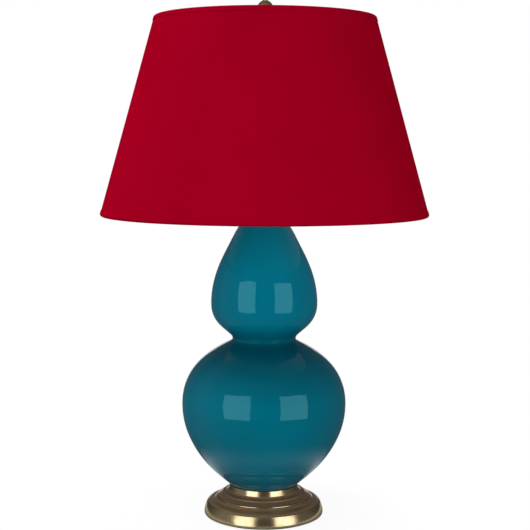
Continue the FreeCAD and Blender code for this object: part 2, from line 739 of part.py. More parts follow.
def holder_cap():
    """Spun cap of the lampholder with its threaded hub, clamped on the rod by a set screw."""
    r = SHELL_R + SEAM_GAP + HOLDER_CAP_WALL
    flat, dome = (HOLDER_CAP_FLAT_R, Z_HOLDER), (r, Z_HOLDER + HOLDER_CAP_DOME_H)
    skin = edges(
        (ROD_HOLE_R, Z_HOLDER),
        flat,
        (bulged(flat, dome, HOLDER_CAP_BULGE), dome),
        (r, Z_HOLDER + HOLDER_CAP_DOME_H + HOLDER_CAP_SKIRT_H),
    )
    hub = ring(ROD_HOLE_R, HUB_R, Z_SADDLE_TOP, HUB_H)
    screw_z = Z_SADDLE_TOP + HUB_H / 2
    hole = bar(SET_SCREW_R + SEAM_GAP, V(0, 0, screw_z), V(0, HUB_R + 1, screw_z))
    return sheet_metal(skin, HOLDER_CAP_WALL).fuse(hub).removeSplitter().cut(hole)


def holder_set_screw():
    z = Z_SADDLE_TOP + HUB_H / 2
    return bar(SET_SCREW_R, V(0, ROD_R + SEAM_GAP, z), V(0, SET_SCREW_OUT_Y, z))


def holder_shell():
    """Brass shell of the lampholder, with a bead rolled round it."""
    low = (SHELL_R, Z_SHELL + SHELL_BEAD_RISE)
    high = (SHELL_R, Z_SHELL + SHELL_BEAD_RISE + SHELL_BEAD_H)
    skin = edges((SHELL_R, Z_SHELL), low, (bulged(low, high, SHELL_BEAD_BULGE), high), (SHELL_R, Z_SHELL_TOP))
    return sheet_metal(skin, SHELL_WALL).cut(knob_slot(Z_SHELL))


def holder_insulator():
    """Card sleeve inside the shell."""
    z = Z_SHELL + INSULATOR_SHORT
    height = SHELL_H - 2 * INSULATOR_SHORT
    return ring(INSULATOR_R - INSULATOR_WALL, INSULATOR_R, z, height).cut(knob_slot(z))


def holder_core():
    """Moulded core: bearing nose for the switch, room for its rotor, pockets for the terminals."""
    half = ROTOR_R + ROTOR_ROOM
    core = ring(0, CORE_R, Z_CORE, CORE_H).fuse(along_y(NOSE_R, 0, NOSE_Y)).removeSplitter()
    room = along_y(half, ROTOR_Y - ROTOR_ROOM, ROTOR_Y + ROTOR_T + ROTOR_ROOM)
    fronts = (-ROTOR_Y - ROTOR_T - ROTOR_ROOM, -ROTOR_Y + ROTOR_ROOM)
    room = room.fuse(block((-half, half), fronts, (Z_CORE - 1, Z_KNOB)))
    core = core.cut(room)
    core = core.cut(along_y(SHAFT_R + RUN_GAP, SHAFT_IN_Y - ROTOR_ROOM, NOSE_Y + 1))
    pocket = TERMINAL_POCKET_W / 2
    for side in (-1, 1):
        x = sorted((side * TERMINAL_FACE_X, side * (CORE_R + 1)))
        core = core.cut(block(x, (-pocket, pocket), (Z_CORE - 1, Z_KNOB + pocket)))
        core = core.cut(terminal_bar(side, TERMINAL_SHANK_R + SEAM_GAP, -TERMINAL_SHANK_L - 1, 0))
    return core


def terminal_bar(side, r, start, end):
    """A round bar on one side of the core, between two distances from the terminal's face."""
    near, far = side * (TERMINAL_FACE_X + start), side * (TERMINAL_FACE_X + end)
    return bar(r, V(near, 0, Z_KNOB), V(far, 0, Z_KNOB))


def terminal_screw(side):
    head = terminal_bar(side, TERMINAL_HEAD_R, 0, TERMINAL_HEAD_T)
    return head.fuse(terminal_bar(side, TERMINAL_SHANK_R, -TERMINAL_SHANK_L, 0)).removeSplitter()


def holder_screw_shell():
    """Threaded metal cup that takes the light bulb's cap."""
    r = SCREW_SHELL_IN_R
    wall = SCREW_SHELL_WALL
    skin = [(SCREW_SHELL_HOLE_R, Z_CORE_TOP), (r + wall, Z_CORE_TOP), (r + wall, Z_CORE_TOP + SCREW_SHELL_H)]
    back = [(r, Z_CORE_TOP + SCREW_SHELL_H), (r, Z_CORE_TOP + wall), (SCREW_SHELL_HOLE_R, Z_CORE_TOP + wall)]
    return turned(edges(*skin, *back, skin[0]))


def centre_contact():
    """Sprung brass leaf under the light bulb's tip."""
    end, z = LEAF_HALF_L, Z_CORE_TOP
    side = [(-end, 0), (-1.2, 0), (1.4, LEAF_RISE), (end - 1, LEAF_RISE)]
    back = [(end - 1, LEAF_RISE + LEAF_T), (1.1, LEAF_RISE + LEAF_T), (-1.5, LEAF_T), (-end, LEAF_T)]
    corners = [V(x, -LEAF_W / 2, z + dz) for x, dz in side + back + side[:1]]
    return Part.Face(Part.makePolygon(corners)).extrude(V(0, LEAF_W, 0))


def switch_rotor():
    """Notched contact drum on the switch's shaft."""
    drum = along_y(ROTOR_R, ROTOR_Y, ROTOR_Y + ROTOR_T)
    for n in range(ROTOR_LOBES):
        a = 2 * math.pi * (n + 0.5) / ROTOR_LOBES
        x, z = ROTOR_R * math.cos(a), Z_KNOB + ROTOR_R * math.sin(a)
        drum = drum.cut(bar(ROTOR_NOTCH_R, V(x, -ROTOR_Y + 1, z), V(x, -ROTOR_Y - ROTOR_T - 1, z)))
    return drum.cut(along_y(SHAFT_R, ROTOR_Y - 1, ROTOR_Y + ROTOR_T + 1))


def switch_shaft():
    return along_y(SHAFT_R, SHAFT_IN_Y, SHAFT_OUT_Y)


def switch_knob():
    """Fluted knob with a collar toward the lampholder."""
    knob = along_y(KNOB_R, KNOB_IN_Y + KNOB_COLLAR_T, KNOB_OUT_Y)
    knob = knob.makeFillet(KNOB_ROUND, round_edges(knob, KNOB_OUT_Y))
    knob = knob.fuse(along_y(KNOB_COLLAR_R, KNOB_IN_Y, KNOB_OUT_Y - 3)).removeSplitter()
    for n in range(KNOB_FLUTES):
        a = 2 * math.pi * n / KNOB_FLUTES
        x, z = (KNOB_R + 0.4) * math.cos(a), Z_KNOB + (KNOB_R + 0.4) * math.sin(a)
        knob = knob.cut(bar(KNOB_FLUTE_R, V(x, -KNOB_IN_Y, z), V(x, -KNOB_OUT_Y - 1, z)))
    return knob.cut(along_y(SHAFT_R, KNOB_IN_Y - 1, SHAFT_OUT_Y))


def round_edges(solid, distance):
    """The circular edges of a knob's face at a distance in front of the axis."""
    return [e for e in solid.Edges if abs(e.BoundBox.YMin + distance) < 1e-6 and e.BoundBox.YLength < 1e-6]


# ---- light bulb -----------------------------------------------------------------------------
def bulb_cap():
    skin = edges((BULB_BUTTON_R, Z_BULB_CONE), (BULB_CAP_R, Z_BULB_CAP), (BULB_CAP_R, Z_BULB_CAP_TOP))
    return sheet_metal(skin, BULB_CAP_WALL)


def bulb_insulator():
    """Dark glass between the cap and the contact."""
    r, low, high = BULB_BUTTON_R - BULB_CAP_WALL, Z_BULB_CONE, Z_BULB_CONE + 1
    seal = Z_BULB_SEAL
    return turned(edges((0, seal), (BULB_SEAL_R, seal), (r, low), (r, high), (0, high), (0, seal)))


def bulb_contact():
    r, tip, high = BULB_TIP_R, Z_BULB_TIP, Z_BULB_TIP + BULB_TIP_T
    low = (r, tip + BULB_TIP_T / 2)
    return turned(edges((0, tip), (domed(low, tip), low), (r, high), (0, high), (0, tip)))


def glass_solid(wall):
    """The glass's outside, set in by a wall, down to the neck's edge."""
    neck, wide = GLASS_NECK_R - wall, GLASS_R - wall
    poles = [
        (neck, Z_BULB_CAP_TOP),
        (neck, Z_BULB_CAP_TOP + GLASS_NECK_PULL),
        (wide, Z_GLASS_WIDE - GLASS_WIDE_PULL),
        (wide, Z_GLASS_WIDE),
    ]
    half = wide * math.sqrt(0.5)
    top = edges((wide, Z_GLASS_WIDE), ((half, Z_GLASS_WIDE + half), (0, Z_GLASS_WIDE + wide)))
    foot = edges((0, Z_GLASS_WIDE + wide), (0, Z_GLASS_EDGE), (neck, Z_GLASS_EDGE), (neck, Z_BULB_CAP_TOP))
    return turned([curve(poles).toShape()] + top + foot)


def bulb_glass():
    return glass_solid(0).cut(glass_solid(GLASS_WALL))


def bulb_stem():
    """Glass stem that closes the bulb's neck and carries the filament."""
    r, z = GLASS_NECK_R - GLASS_WALL - SEAM_GAP, Z_GLASS_EDGE
    tip, flare = (STEM_TIP_R, z + STEM_H), (STEM_R, z + STEM_FLARE_H)
    return turned(edges((0, z), (r, z), (r, z + 1), flare, tip, (0, tip[1]), (0, z)))


def bulb_filament():
    """Two leads out of the stem's tip, and the coil between them."""
    foot, top = Z_GLASS_EDGE + STEM_H, Z_GLASS_EDGE + STEM_H + LEAD_H
    left, right = V(-LEAD_SPREAD, 0, top), V(LEAD_SPREAD, 0, top)
    leads = [bar(LEAD_R, V(x, 0, foot), end) for x, end in ((-1, left), (1, right))]
    coil = bar(FILAMENT_R, left, right)
    return coil.fuse(leads).cut(ring(0, STEM_TIP_R, foot - 1, 1)).removeSplitter()


# ---- shade ----------------------------------------------------------------------------------
SLANT = math.hypot(SHADE_BOTTOM_R - SHADE_TOP_R, SHADE_H)
SLANT_R = (SHADE_TOP_R - SHADE_BOTTOM_R) / SLANT
SLANT_Z = SHADE_H / SLANT
RING_WRAP = RING_WIRE_R + RING_EASE
LINER_FACE = FABRIC_T + GLUE_GAP + LINER_T
RING_DEPTH = LINER_FACE + RING_WRAP
HEM_R = (GLUE_GAP + RING_DEPTH + RING_WRAP) / 2
HEM_DEPTH = HEM_R - GLUE_GAP
HEM_RISE = HEM_R + TRIM_T


def on_slant(along, depth, from_top=False):
    """Radius and height of a point: up the slant from an edge, and in from the cloth's face."""
    up = SLANT - along if from_top else along
    return (SHADE_BOTTOM_R + up * SLANT_R - depth * SLANT_Z, Z_SHADE_BOTTOM + up * SLANT_Z + depth * SLANT_R)


def slant_sheet(depth, thickness):
    """A layer of the shade, between the two hems."""
    low, high = EDGE_DROP, SLANT - EDGE_DROP
    corners = [(low, depth), (high, depth), (high, depth + thickness), (low, depth + thickness), (low, depth)]
    return turned(edges(*[on_slant(along, d) for along, d in corners]))


def shade_fabric():
    return slant_sheet(0, FABRIC_T)


def shade_liner():
    return slant_sheet(FABRIC_T + GLUE_GAP, LINER_T)


def edge_ring(from_top):
    r, z = on_slant(HEM_RISE, RING_DEPTH, from_top)
    return Part.makeTorus(r, RING_WIRE_R, V(0, 0, z), AXIS)


def hem(from_top):
    """Strip of the cloth that is turned over an edge of the shade, round its wire."""
    diagonal = RING_WRAP * math.sqrt(0.5)
    liner = LINER_FACE + GLUE_GAP
    path = [
        (TRIM_OUT_W, -GLUE_GAP),
        (HEM_RISE, -GLUE_GAP),
        ((HEM_RISE - HEM_R, HEM_DEPTH), (HEM_RISE, HEM_DEPTH + HEM_R)),
        ((HEM_RISE + diagonal, RING_DEPTH + diagonal), (HEM_RISE + RING_WRAP, RING_DEPTH)),
        (HEM_RISE + RING_WRAP + TRIM_RAMP_W, liner),
        (TRIM_IN_W, liner),
    ]

    def place(step):
        if isinstance(step[0], tuple):
            return (on_slant(*step[0], from_top), on_slant(*step[1], from_top))
        return on_slant(*step, from_top)

    return sheet_metal(edges(*[place(step) for step in path]), -TRIM_T if from_top else TRIM_T)


def arm_path(n):
    r, z = on_slant(HEM_RISE, RING_DEPTH, True)
    angle = math.radians(90 + 360 * n / SPIDER_ARMS)
    hub_z = Z_SPIDER + SPIDER_T / 2
    stations = [(ARM_START_R, hub_z), (r - ARM_BEND_IN, hub_z), (r, z)]
    return bent_path([V(d * math.cos(angle), d * math.sin(angle), h) for d, h in stations])


def shade_spider():
    """Steel wire frame: hub washer, arms and the shade's upper ring, welded together."""
    arms = [wire_rod(arm_path(n), ARM_R) for n in range(SPIDER_ARMS)]
    frame = edge_ring(True).fuse(arms + [ring(0, SPIDER_R, Z_SPIDER, SPIDER_T)])
    return frame.cut(ring(0, SPIDER_HOLE_R, Z_SPIDER - 1, SPIDER_T + 2))


def shade_bottom_ring():
    return edge_ring(False)


def shade_top_hem():
    """The upper hem, notched round each arm of the spider."""
    trim = hem(True)
    for n in range(SPIDER_ARMS):
        trim = trim.cut(wire_rod(arm_path(n), ARM_R + ARM_NOTCH))
    return trim


def shade_bottom_hem():
    return hem(False)


# ---- finial ---------------------------------------------------------------------------------
def finial_collar():
    low, high = (FINIAL_COLLAR_R, Z_FINIAL + 1.2), (FINIAL_COLLAR_TOP_R, Z_FINIAL + FINIAL_COLLAR_H)
    return turned(edges(
        (FINIAL_BORE_R, Z_FINIAL),
        (FINIAL_COLLAR_R, Z_FINIAL),
        low,
        (bulged(low, high, -0.7), high),
        (FINIAL_BORE_R, Z_FINIAL + FINIAL_COLLAR_H),
        (FINIAL_BORE_R, Z_FINIAL),
    ))


def finial_knob():
    """Ball with a tapered neck, bored for the harp's thread, and a small flat nub on top."""
    centre = Z_SPIDER_TOP + FINIAL_BALL_RISE
    neck_z = centre - math.sqrt(FINIAL_BALL_R ** 2 - FINIAL_NECK_R ** 2)
    nub_z = centre + math.sqrt(FINIAL_BALL_R ** 2 - FINIAL_NUB_R ** 2)
    tip = Z_SPIDER_TOP + FINIAL_TOP_RISE
    foot, neck = (FINIAL_COLLAR_TOP_R, Z_FINIAL_KNOB), (FINIAL_NECK_R, neck_z)
    nub = (FINIAL_NUB_R, nub_z + FINIAL_NUB_H)
    bore_top = Z_STUD_TOP + FINIAL_BORE_SPARE
    return turned(edges(
        (FINIAL_BORE_R, Z_FINIAL_KNOB),
        foot,
        (bulged(foot, neck, -1.0), neck),
        ((FINIAL_BALL_R, centre), (FINIAL_NUB_R, nub_z)),
        nub,
        (domed(nub, tip), (0, tip)),
        (0, bore_top),
        (FINIAL_BORE_R, bore_top),
        (FINIAL_BORE_R, Z_FINIAL_KNOB),
    ))


# ---- every piece, in the order that the lamp goes together ------------------------------------
PIECES = {
    "base_felt_pad": base_felt_pad,
    "base_plinth": base_plinth,
    "base_ballast": base_ballast,
    "base_washer": base_washer,
    "lock_washer": lock_washer,
    "hex_nut": hex_nut,
    "cord_bushing": cord_bushing,
    "seat_cup": seat_cup,
    "foot_gasket": foot_gasket,
    "gourd_body": gourd_body,
    "rim_gasket": rim_gasket,
    "threaded_rod": threaded_rod,
    "vase_cap": vase_cap,
    "neck_spacer": neck_spacer,
    "harp_saddle": harp_saddle,
    "harp_wire": harp_wire,
    "harp_stud": harp_stud,
    "harp_sleeve_left": lambda: harp_sleeve(-1),
    "harp_sleeve_right": lambda: harp_sleeve(1),
    "holder_cap": holder_cap,
    "holder_set_screw": holder_set_screw,
    "holder_shell": holder_shell,
    "holder_insulator": holder_insulator,
    "holder_core": holder_core,
    "terminal_screw_left": lambda: terminal_screw(-1),
    "terminal_screw_right": lambda: terminal_screw(1),
    "holder_screw_shell": holder_screw_shell,
    "centre_contact": centre_contact,
    "switch_rotor": switch_rotor,
    "switch_shaft": switch_shaft,
    "switch_knob": switch_knob,
    "bulb_cap": bulb_cap,
    "bulb_insulator": bulb_insulator,
    "bulb_contact": bulb_contact,
    "bulb_glass": bulb_glass,
    "bulb_stem": bulb_stem,
    "bulb_filament": bulb_filament,
    "shade_fabric": shade_fabric,
    "shade_liner": shade_liner,
    "shade_spider": shade_spider,
    "shade_bottom_ring": shade_bottom_ring,
    "shade_top_hem": shade_top_hem,
    "shade_bottom_hem": shade_bottom_hem,
    "finial_collar": finial_collar,
    "finial_knob": finial_knob,
}

os.makedirs("parts", exist_ok=True)
for name, make in PIECES.items():
    shape = make()
    shape.exportStep("parts/" + name + ".step")
    box = shape.BoundBox
    print(f"{name:22s} {len(shape.Solids)} solid  {shape.Volume / 1000:10.2f} cm3  "
          f"z {box.ZMin:7.2f} to {box.ZMax:7.2f}  x {box.XMin:8.2f} to {box.XMax:8.2f}  {shape.isValid()}")
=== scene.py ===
# %% [markdown]
# # Dressing a double gourd table lamp
# The solids of this lamp come from a CAD model, and they already have their true sizes and places.
# Blender's work is what they are made of: a thick teal glaze, antique brass, red cloth on a stiff
# liner. Hard pieces keep their solid and get a finish. The cloth, the felt and the bulb's rolled
# screw cap are made again here, because cloth has folds and a thread has a ridge.

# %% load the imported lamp
import json
import math

import bmesh
import bpy
from mathutils import Matrix, Vector, noise


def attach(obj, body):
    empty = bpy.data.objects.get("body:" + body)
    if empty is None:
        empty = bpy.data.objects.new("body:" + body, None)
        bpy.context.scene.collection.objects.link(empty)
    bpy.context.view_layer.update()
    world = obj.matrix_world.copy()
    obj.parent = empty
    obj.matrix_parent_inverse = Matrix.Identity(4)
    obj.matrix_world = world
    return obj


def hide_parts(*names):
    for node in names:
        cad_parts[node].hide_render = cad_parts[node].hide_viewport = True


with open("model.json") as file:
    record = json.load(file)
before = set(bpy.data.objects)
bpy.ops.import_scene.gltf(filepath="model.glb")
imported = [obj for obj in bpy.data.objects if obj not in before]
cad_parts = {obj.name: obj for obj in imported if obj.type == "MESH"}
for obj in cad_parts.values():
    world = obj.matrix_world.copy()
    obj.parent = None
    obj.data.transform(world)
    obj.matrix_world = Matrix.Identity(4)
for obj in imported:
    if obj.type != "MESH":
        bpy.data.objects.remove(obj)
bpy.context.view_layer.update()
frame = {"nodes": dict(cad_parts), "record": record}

# %% [markdown]
# ## The camera
# The photograph shows the lamp from eye level with the shade: the shade's top edge curves up and
# its bottom edge curves down. A camera 1.8 m away at 0.56 m does the same. It looks down a little,
# and leans by a hair, because the lamp leans by a hair in the picture.

# %% the camera
LENS_MM = 82.54
CAMERA_PLACE = (0, -1.8, 0.5607)
CAMERA_PAN = -0.03
CAMERA_TILT = 84.2
CAMERA_LEAN = 0.2

lens = bpy.data.cameras.new("lens")
lens.sensor_width = 36.0
lens.lens = LENS_MM
camera = bpy.data.objects.new("camera", lens)
camera.location = CAMERA_PLACE
pan = Matrix.Rotation(math.radians(CAMERA_PAN), 4, "Z")
tilt = Matrix.Rotation(math.radians(CAMERA_TILT), 4, "X")
lean = Matrix.Rotation(math.radians(CAMERA_LEAN), 4, "Z")
camera.rotation_euler = (pan @ tilt @ lean).to_euler()
bpy.context.scene.collection.objects.link(camera)
bpy.context.scene.camera = camera
bpy.context.scene.view_settings.view_transform = "Standard"
print("camera at", tuple(camera.location))

# %% [markdown]
# ## Colours and nodes
# A finish is a node tree around one Principled shader. These helpers keep each finish short: a
# colour is written as it looks on screen, a node is added with its settings and inputs, and an
# input is either a plain value or another node.

# %% helpers for finishes
def paint(red, green, blue):
    """A colour as it looks on screen, from 0 to 255, for a shader's socket."""
    share = [v / 255 for v in (red, green, blue)]
    return [v / 12.92 if v <= 0.04045 else ((v + 0.055) / 1.055) ** 2.4 for v in share] + [1.0]


def grey(strength):
    """A neutral colour, where 1 is white."""
    return [strength] * 3 + [1.0]


def new_finish(name, **sockets):
    """A material with its shader's own sockets set. Returns the material and the shader."""
    finish = bpy.data.materials.new(name)
    finish.use_nodes = True
    shader = finish.node_tree.nodes["Principled BSDF"]
    for socket, value in sockets.items():
        shader.inputs[socket.replace("_", " ")].default_value = value
    return finish, shader


def put(finish, kind, inputs=None, **settings):
    """Adds a node. Each input is a value, a node whose first output is linked, or a socket."""
    tree = finish.node_tree
    made = tree.nodes.new("ShaderNode" + kind)
    for name, value in settings.items():
        setattr(made, name, value)
    for name, value in (inputs or {}).items():
        if isinstance(value, bpy.types.Node):
            tree.links.new(value.outputs[0], made.inputs[name])
        elif isinstance(value, bpy.types.NodeSocket):
            tree.links.new(value, made.inputs[name])
        else:
            made.inputs[name].default_value = value
    return made


def wire(finish, source, shader, socket):
    """Links a pattern to one of the shader's sockets."""
    out = source.outputs[0] if isinstance(source, bpy.types.Node) else source
    finish.node_tree.links.new(out, shader.inputs[socket])


# %% [markdown]
# ## Patterns
# Wear, clouds and grain are values from 0 to 1 that change from place to place. Noise read at a
# point's own place in the lamp gives most of them, so they run on from one piece to the next and
# need no unwrapping. The helpers below stretch such a pattern, join two, and turn it into a colour
# or into relief.

# %% helpers for patterns
def at_place(finish):
    """The place of a point in the lamp, in metres."""
    return put(finish, "TexCoord").outputs["Object"]


def height_of(finish):
    """The height of a point over the table, in metres."""
    return put(finish, "SeparateXYZ", {0: at_place(finish)}).outputs["Z"]


def mottle(finish, scale, detail=3.0, where=None, rough=0.5):
    """Soft cloudy noise."""
    inputs = {"Vector": where or at_place(finish), "Scale": scale, "Detail": detail, "Roughness": rough}
    return put(finish, "TexNoise", inputs)


def spread(finish, pattern, low, high, start=0.0, end=1.0):
    """A pattern's values from low to high become values from start to end."""
    inputs = {"Value": pattern, "From Min": low, "From Max": high, "To Min": start, "To Max": end}
    return put(finish, "MapRange", inputs)


def fade(finish, pattern, low, high):
    """Goes smoothly from 0 to 1 as a pattern goes from low to high."""
    inputs = {"Value": pattern, "From Min": low, "From Max": high}
    return put(finish, "MapRange", inputs, interpolation_type="SMOOTHSTEP")


def sums(finish, first, second, how="ADD"):
    """One step of arithmetic on two patterns or values."""
    return put(finish, "Math", {0: first, 1: second}, operation=how)


def times(finish, first, second):
    """The product of two patterns or values."""
    return sums(finish, first, second, "MULTIPLY")


def larger(finish, first, second):
    """The larger of two patterns or values."""
    return sums(finish, first, second, "MAXIMUM")


# %% helpers for colour and relief
def tint(finish, pattern, first, second, low=0.35, high=0.65):
    """Turns a pattern into colours between two paints."""
    ramp = put(finish, "ValToRGB", {0: pattern})
    ramp.color_ramp.elements[0].position = low
    ramp.color_ramp.elements[1].position = high
    ramp.color_ramp.elements[0].color = first
    ramp.color_ramp.elements[1].color = second
    return ramp


def mixed(finish, share, under, over):
    """Lays one colour over another."""
    made = put(finish, "Mix", data_type="RGBA")
    for index, value in ((0, share), (6, under), (7, over)):
        if isinstance(value, bpy.types.Node):
            value = value.outputs[0]
        if isinstance(value, bpy.types.NodeSocket):
            finish.node_tree.links.new(value, made.inputs[index])
        else:
            made.inputs[index].default_value = value
    return made.outputs[2]


def relief(finish, shader, height, distance, strength=1.0, under=None):
    """Bump from a height pattern. It can lie over another bump."""
    inputs = {"Height": height, "Distance": distance, "Strength": strength}
    if under is not None:
        inputs["Normal"] = under
    made = put(finish, "Bump", inputs)
    wire(finish, made, shader, "Normal")
    return made


# %% [markdown]
# ## The glaze
# The body is slip-cast stoneware under a thick glossy glaze. The colour sits under a layer of
# glass, so the shader is a plain colour with a very smooth, faintly tinted reflection. A fired
# glaze is never dead flat: it swims a little, which bends the edges of what it mirrors. It is a
# little darker on the belly than on the upper bulb. The belly's top and the waist are much darker:
# that is painted shade under the upper bulb, with a little glaze pooling. Glaze also pools a little
# above the foot, and the foot itself is wiped bare.

# %% teal glaze
LOWER_TONE_BELOW = (0.25, 0.29)
# The waist band is mostly painted shade under the upper bulb, with a little glaze pooling.
WAIST_FROM = (0.185, 0.256)
WAIST_TO = (0.262, 0.288)
WAIST_SHADE_AND_POOL = 0.66
FOOT_POOL_FROM = (0.043, 0.075)
FOOT_POOL = 0.25
WIPED_BELOW = (0.0418, 0.0424)


def waist_shade_and_foot_pool(finish, height):
    """How much darker: painted shade with some pooling in the waist, glaze pooling over the foot."""
    above = spread(finish, height, *WAIST_TO, 1.0, 0.0)
    below = spread(finish, height, *WAIST_FROM)
    waist = times(finish, times(finish, above, below), WAIST_SHADE_AND_POOL)
    foot = spread(finish, height, *FOOT_POOL_FROM, FOOT_POOL, 0.0)
    return larger(finish, waist, foot)


def teal_glaze():
    finish, shader = new_finish("teal_glaze", IOR=1.5, Specular_IOR_Level=0.3)
    shader.inputs["Specular Tint"].default_value = (0.3, 0.95, 1.0, 1.0)
    clouds = mottle(finish, 9.0, 4.0)
    # A little darker on the belly than on the upper bulb.
    upper_tone = tint(finish, clouds, paint(0, 114, 138), paint(0, 120, 145))
    lower_tone = tint(finish, clouds, paint(0, 102, 122), paint(0, 108, 130))
    height = height_of(finish)
    body = mixed(finish, spread(finish, height, *LOWER_TONE_BELOW), lower_tone, upper_tone)
    # Darker on the belly's top and in the waist: painted shade under the upper bulb, with a little glaze
    # pooling.
    pool_and_shade_colour = mixed(finish, waist_shade_and_foot_pool(finish, height), body, paint(0, 48, 64))
    specks = put(finish, "TexVoronoi", {"Vector": at_place(finish), "Scale": 260.0})
    speck = spread(finish, specks.outputs["Distance"], 0.03, 0.07, 0.22, 0.0)
    speckled = mixed(finish, speck, pool_and_shade_colour, paint(0, 60, 78))
    bare = spread(finish, height, *WIPED_BELOW, 1.0, 0.0)
    wire(finish, mixed(finish, bare, speckled, paint(186, 172, 150)), shader, "Base Color")
    wire(finish, spread(finish, bare, 0.0, 1.0, 0.045, 0.75), shader, "Roughness")
    swim = relief(finish, shader, mottle(finish, 16.0, 1.0), 0.004, 0.12)
    relief(finish, shader, mottle(finish, 420.0, 2.0), 0.0002, 0.03, swim)
    return finish


# %% [markdown]
# ## Antique brass
# The base, the cup and the finial are spun or turned brass, darkened with a chemical bath, rubbed
# back on the high spots and lacquered. So the metal is a brownish gold with darker clouds, and
# fine circles run round the axis from the lathe. The bath's brown stays where the buffing wheel
# doesn't reach: in the grooves, which ambient occlusion finds. The same brown, less metallic, is
# also laid on two steps of the base, the cove and the tread that climbs to the cup, which the
# photograph shows dull on both sides of a bright bead: there it is painted shade under the belly.
# The lacquer is a clear coat. The circles come from noise that reads only the radius and the
# height.

# %% antique brass
# Heights of the two steps of the base that get painted shade.
SHADED_STEPS = [(0.0205, 0.0268), (0.0292, 0.0395)]
STEP_FADE = 0.0008
STEP_SHADE = 0.85
GROOVE_REACH = 0.004


def lathe_circles(finish, scale):
    """Noise that is the same all the way round the lamp's axis."""
    parts = put(finish, "SeparateXYZ", {0: at_place(finish)})
    across = times(finish, parts.outputs["X"], parts.outputs["X"])
    ahead = times(finish, parts.outputs["Y"], parts.outputs["Y"])
    radius = put(finish, "Math", {0: sums(finish, across, ahead)}, operation="SQRT")
    where = put(finish, "CombineXYZ", {"X": radius, "Z": parts.outputs["Z"]})
    return put(finish, "TexNoise", {"Vector": where, "Scale": scale, "Detail": 2.0})


def patina_and_step_shade(finish):
    """The bath's brown in grooves, and painted shade on two steps of the base."""
    hidden = put(finish, "AmbientOcclusion", {"Distance": GROOVE_REACH}, samples=6, only_local=True)
    patina_and_shade = spread(finish, hidden.outputs["AO"], 0.3, 0.85, 1.0, 0.0)
    height = height_of(finish)
    for low, high in SHADED_STEPS:
        rising = spread(finish, height, low, low + STEP_FADE)
        falling = spread(finish, height, high - STEP_FADE, high, 1.0, 0.0)
        step = times(finish, times(finish, rising, falling), STEP_SHADE)
        patina_and_shade = larger(finish, patina_and_shade, step)
    return patina_and_shade


def antique_brass(name="antique_brass", turned=True, rough=0.2):
    finish, shader = new_finish(name, Coat_Weight=0.5, Coat_Roughness=0.1)
    shader.inputs["Specular Tint"].default_value = paint(235, 225, 205)
    clouds = mottle(finish, 38.0, 5.0, rough=0.62)
    aged = tint(finish, clouds, paint(166, 146, 108), paint(186, 168, 134), 0.3, 0.72)
    patina_and_shade = patina_and_step_shade(finish)
    # Brown patina in the grooves, and painted shade on two steps of the base.
    patina_and_shade_colour = mixed(finish, times(finish, patina_and_shade, 0.85), aged, paint(100, 64, 34))
    spots = mottle(finish, 210.0, 4.0, rough=0.7)
    spotted = mixed(finish, spread(finish, spots, 0.6, 0.74, 0.0, 0.35), patina_and_shade_colour, paint(98, 68, 40))
    wire(finish, spotted, shader, "Base Color")
    wire(finish, spread(finish, patina_and_shade, 0.0, 1.0, 0.97, 0.3), shader, "Metallic")
    gloss = spread(finish, clouds, 0.3, 0.7, rough + 0.06, rough - 0.05)
    wire(finish, sums(finish, gloss, times(finish, patina_and_shade, 0.22)), shader, "Roughness")
    under = None
    if turned:
        under = relief(finish, shader, lathe_circles(finish, 900.0), 0.00006, 0.5)
    relief(finish, shader, spots, 0.00008, 0.25, under)
    return finish


# %% [markdown]
# ## Plain metals
# Inside the shade are the pressed brass lampholder, plated steel rings and fasteners, a drawn
# aluminium screw cap, and a cast iron weight. Each one differs in three things: its tint, how
# sharply it mirrors, and the marks its making left. One function makes the smooth ones from those,
# and cast iron, with its sandy skin and its rust, has its own.

# %% plain metals
def plain_metal(name, first, second, rough, grain, grain_depth, stretch=(1, 1, 1)):
    """Metal with fine marks. A stretch above 1 packs the marks closer along that axis."""
    finish, shader = new_finish(name, Metallic=1.0)
    where = put(finish, "Mapping", {"Vector": at_place(finish), "Scale": stretch})
    marks = mottle(finish, grain, 4.0, where.outputs[0], 0.6)
    stains = mottle(finish, 55.0, 3.0)
    wire(finish, tint(finish, stains, first, second), shader, "Base Color")
    wire(finish, spread(finish, marks, 0.3, 0.7, rough - 0.06, rough + 0.08), shader, "Roughness")
    relief(finish, shader, marks, grain_depth, 0.4)
    return finish


def bright_brass():
    first, second = paint(206, 170, 96), paint(222, 190, 118)
    return plain_metal("bright_brass", first, second, 0.24, 500.0, 0.000006, (1, 1, 6))


def steel():
    return plain_metal("steel", paint(168, 168, 166), paint(192, 192, 190), 0.34, 380.0, 0.00003)


def nickel():
    return plain_metal("nickel", paint(196, 192, 182), paint(214, 210, 200), 0.2, 420.0, 0.00002)


def aluminium():
    first, second = paint(196, 197, 199), paint(216, 217, 219)
    return plain_metal("aluminium", first, second, 0.3, 700.0, 0.00002, (1, 1, 8))


def solder():
    return plain_metal("solder", paint(150, 150, 150), paint(188, 188, 186), 0.42, 300.0, 0.00006)


def tungsten():
    return plain_metal("tungsten", paint(96, 96, 100), paint(128, 128, 132), 0.45, 900.0, 0.00002)


def cast_iron():
    finish, shader = new_finish("cast_iron", Metallic=0.7)
    sand = mottle(finish, 700.0, 6.0, rough=0.7)
    rust = tint(finish, mottle(finish, 60.0, 5.0), paint(58, 55, 53), paint(86, 74, 66), 0.45, 0.75)
    wire(finish, rust, shader, "Base Color")
    wire(finish, spread(finish, sand, 0.3, 0.7, 0.6, 0.85), shader, "Roughness")
    relief(finish, shader, sand, 0.0004, 0.6)
    return finish


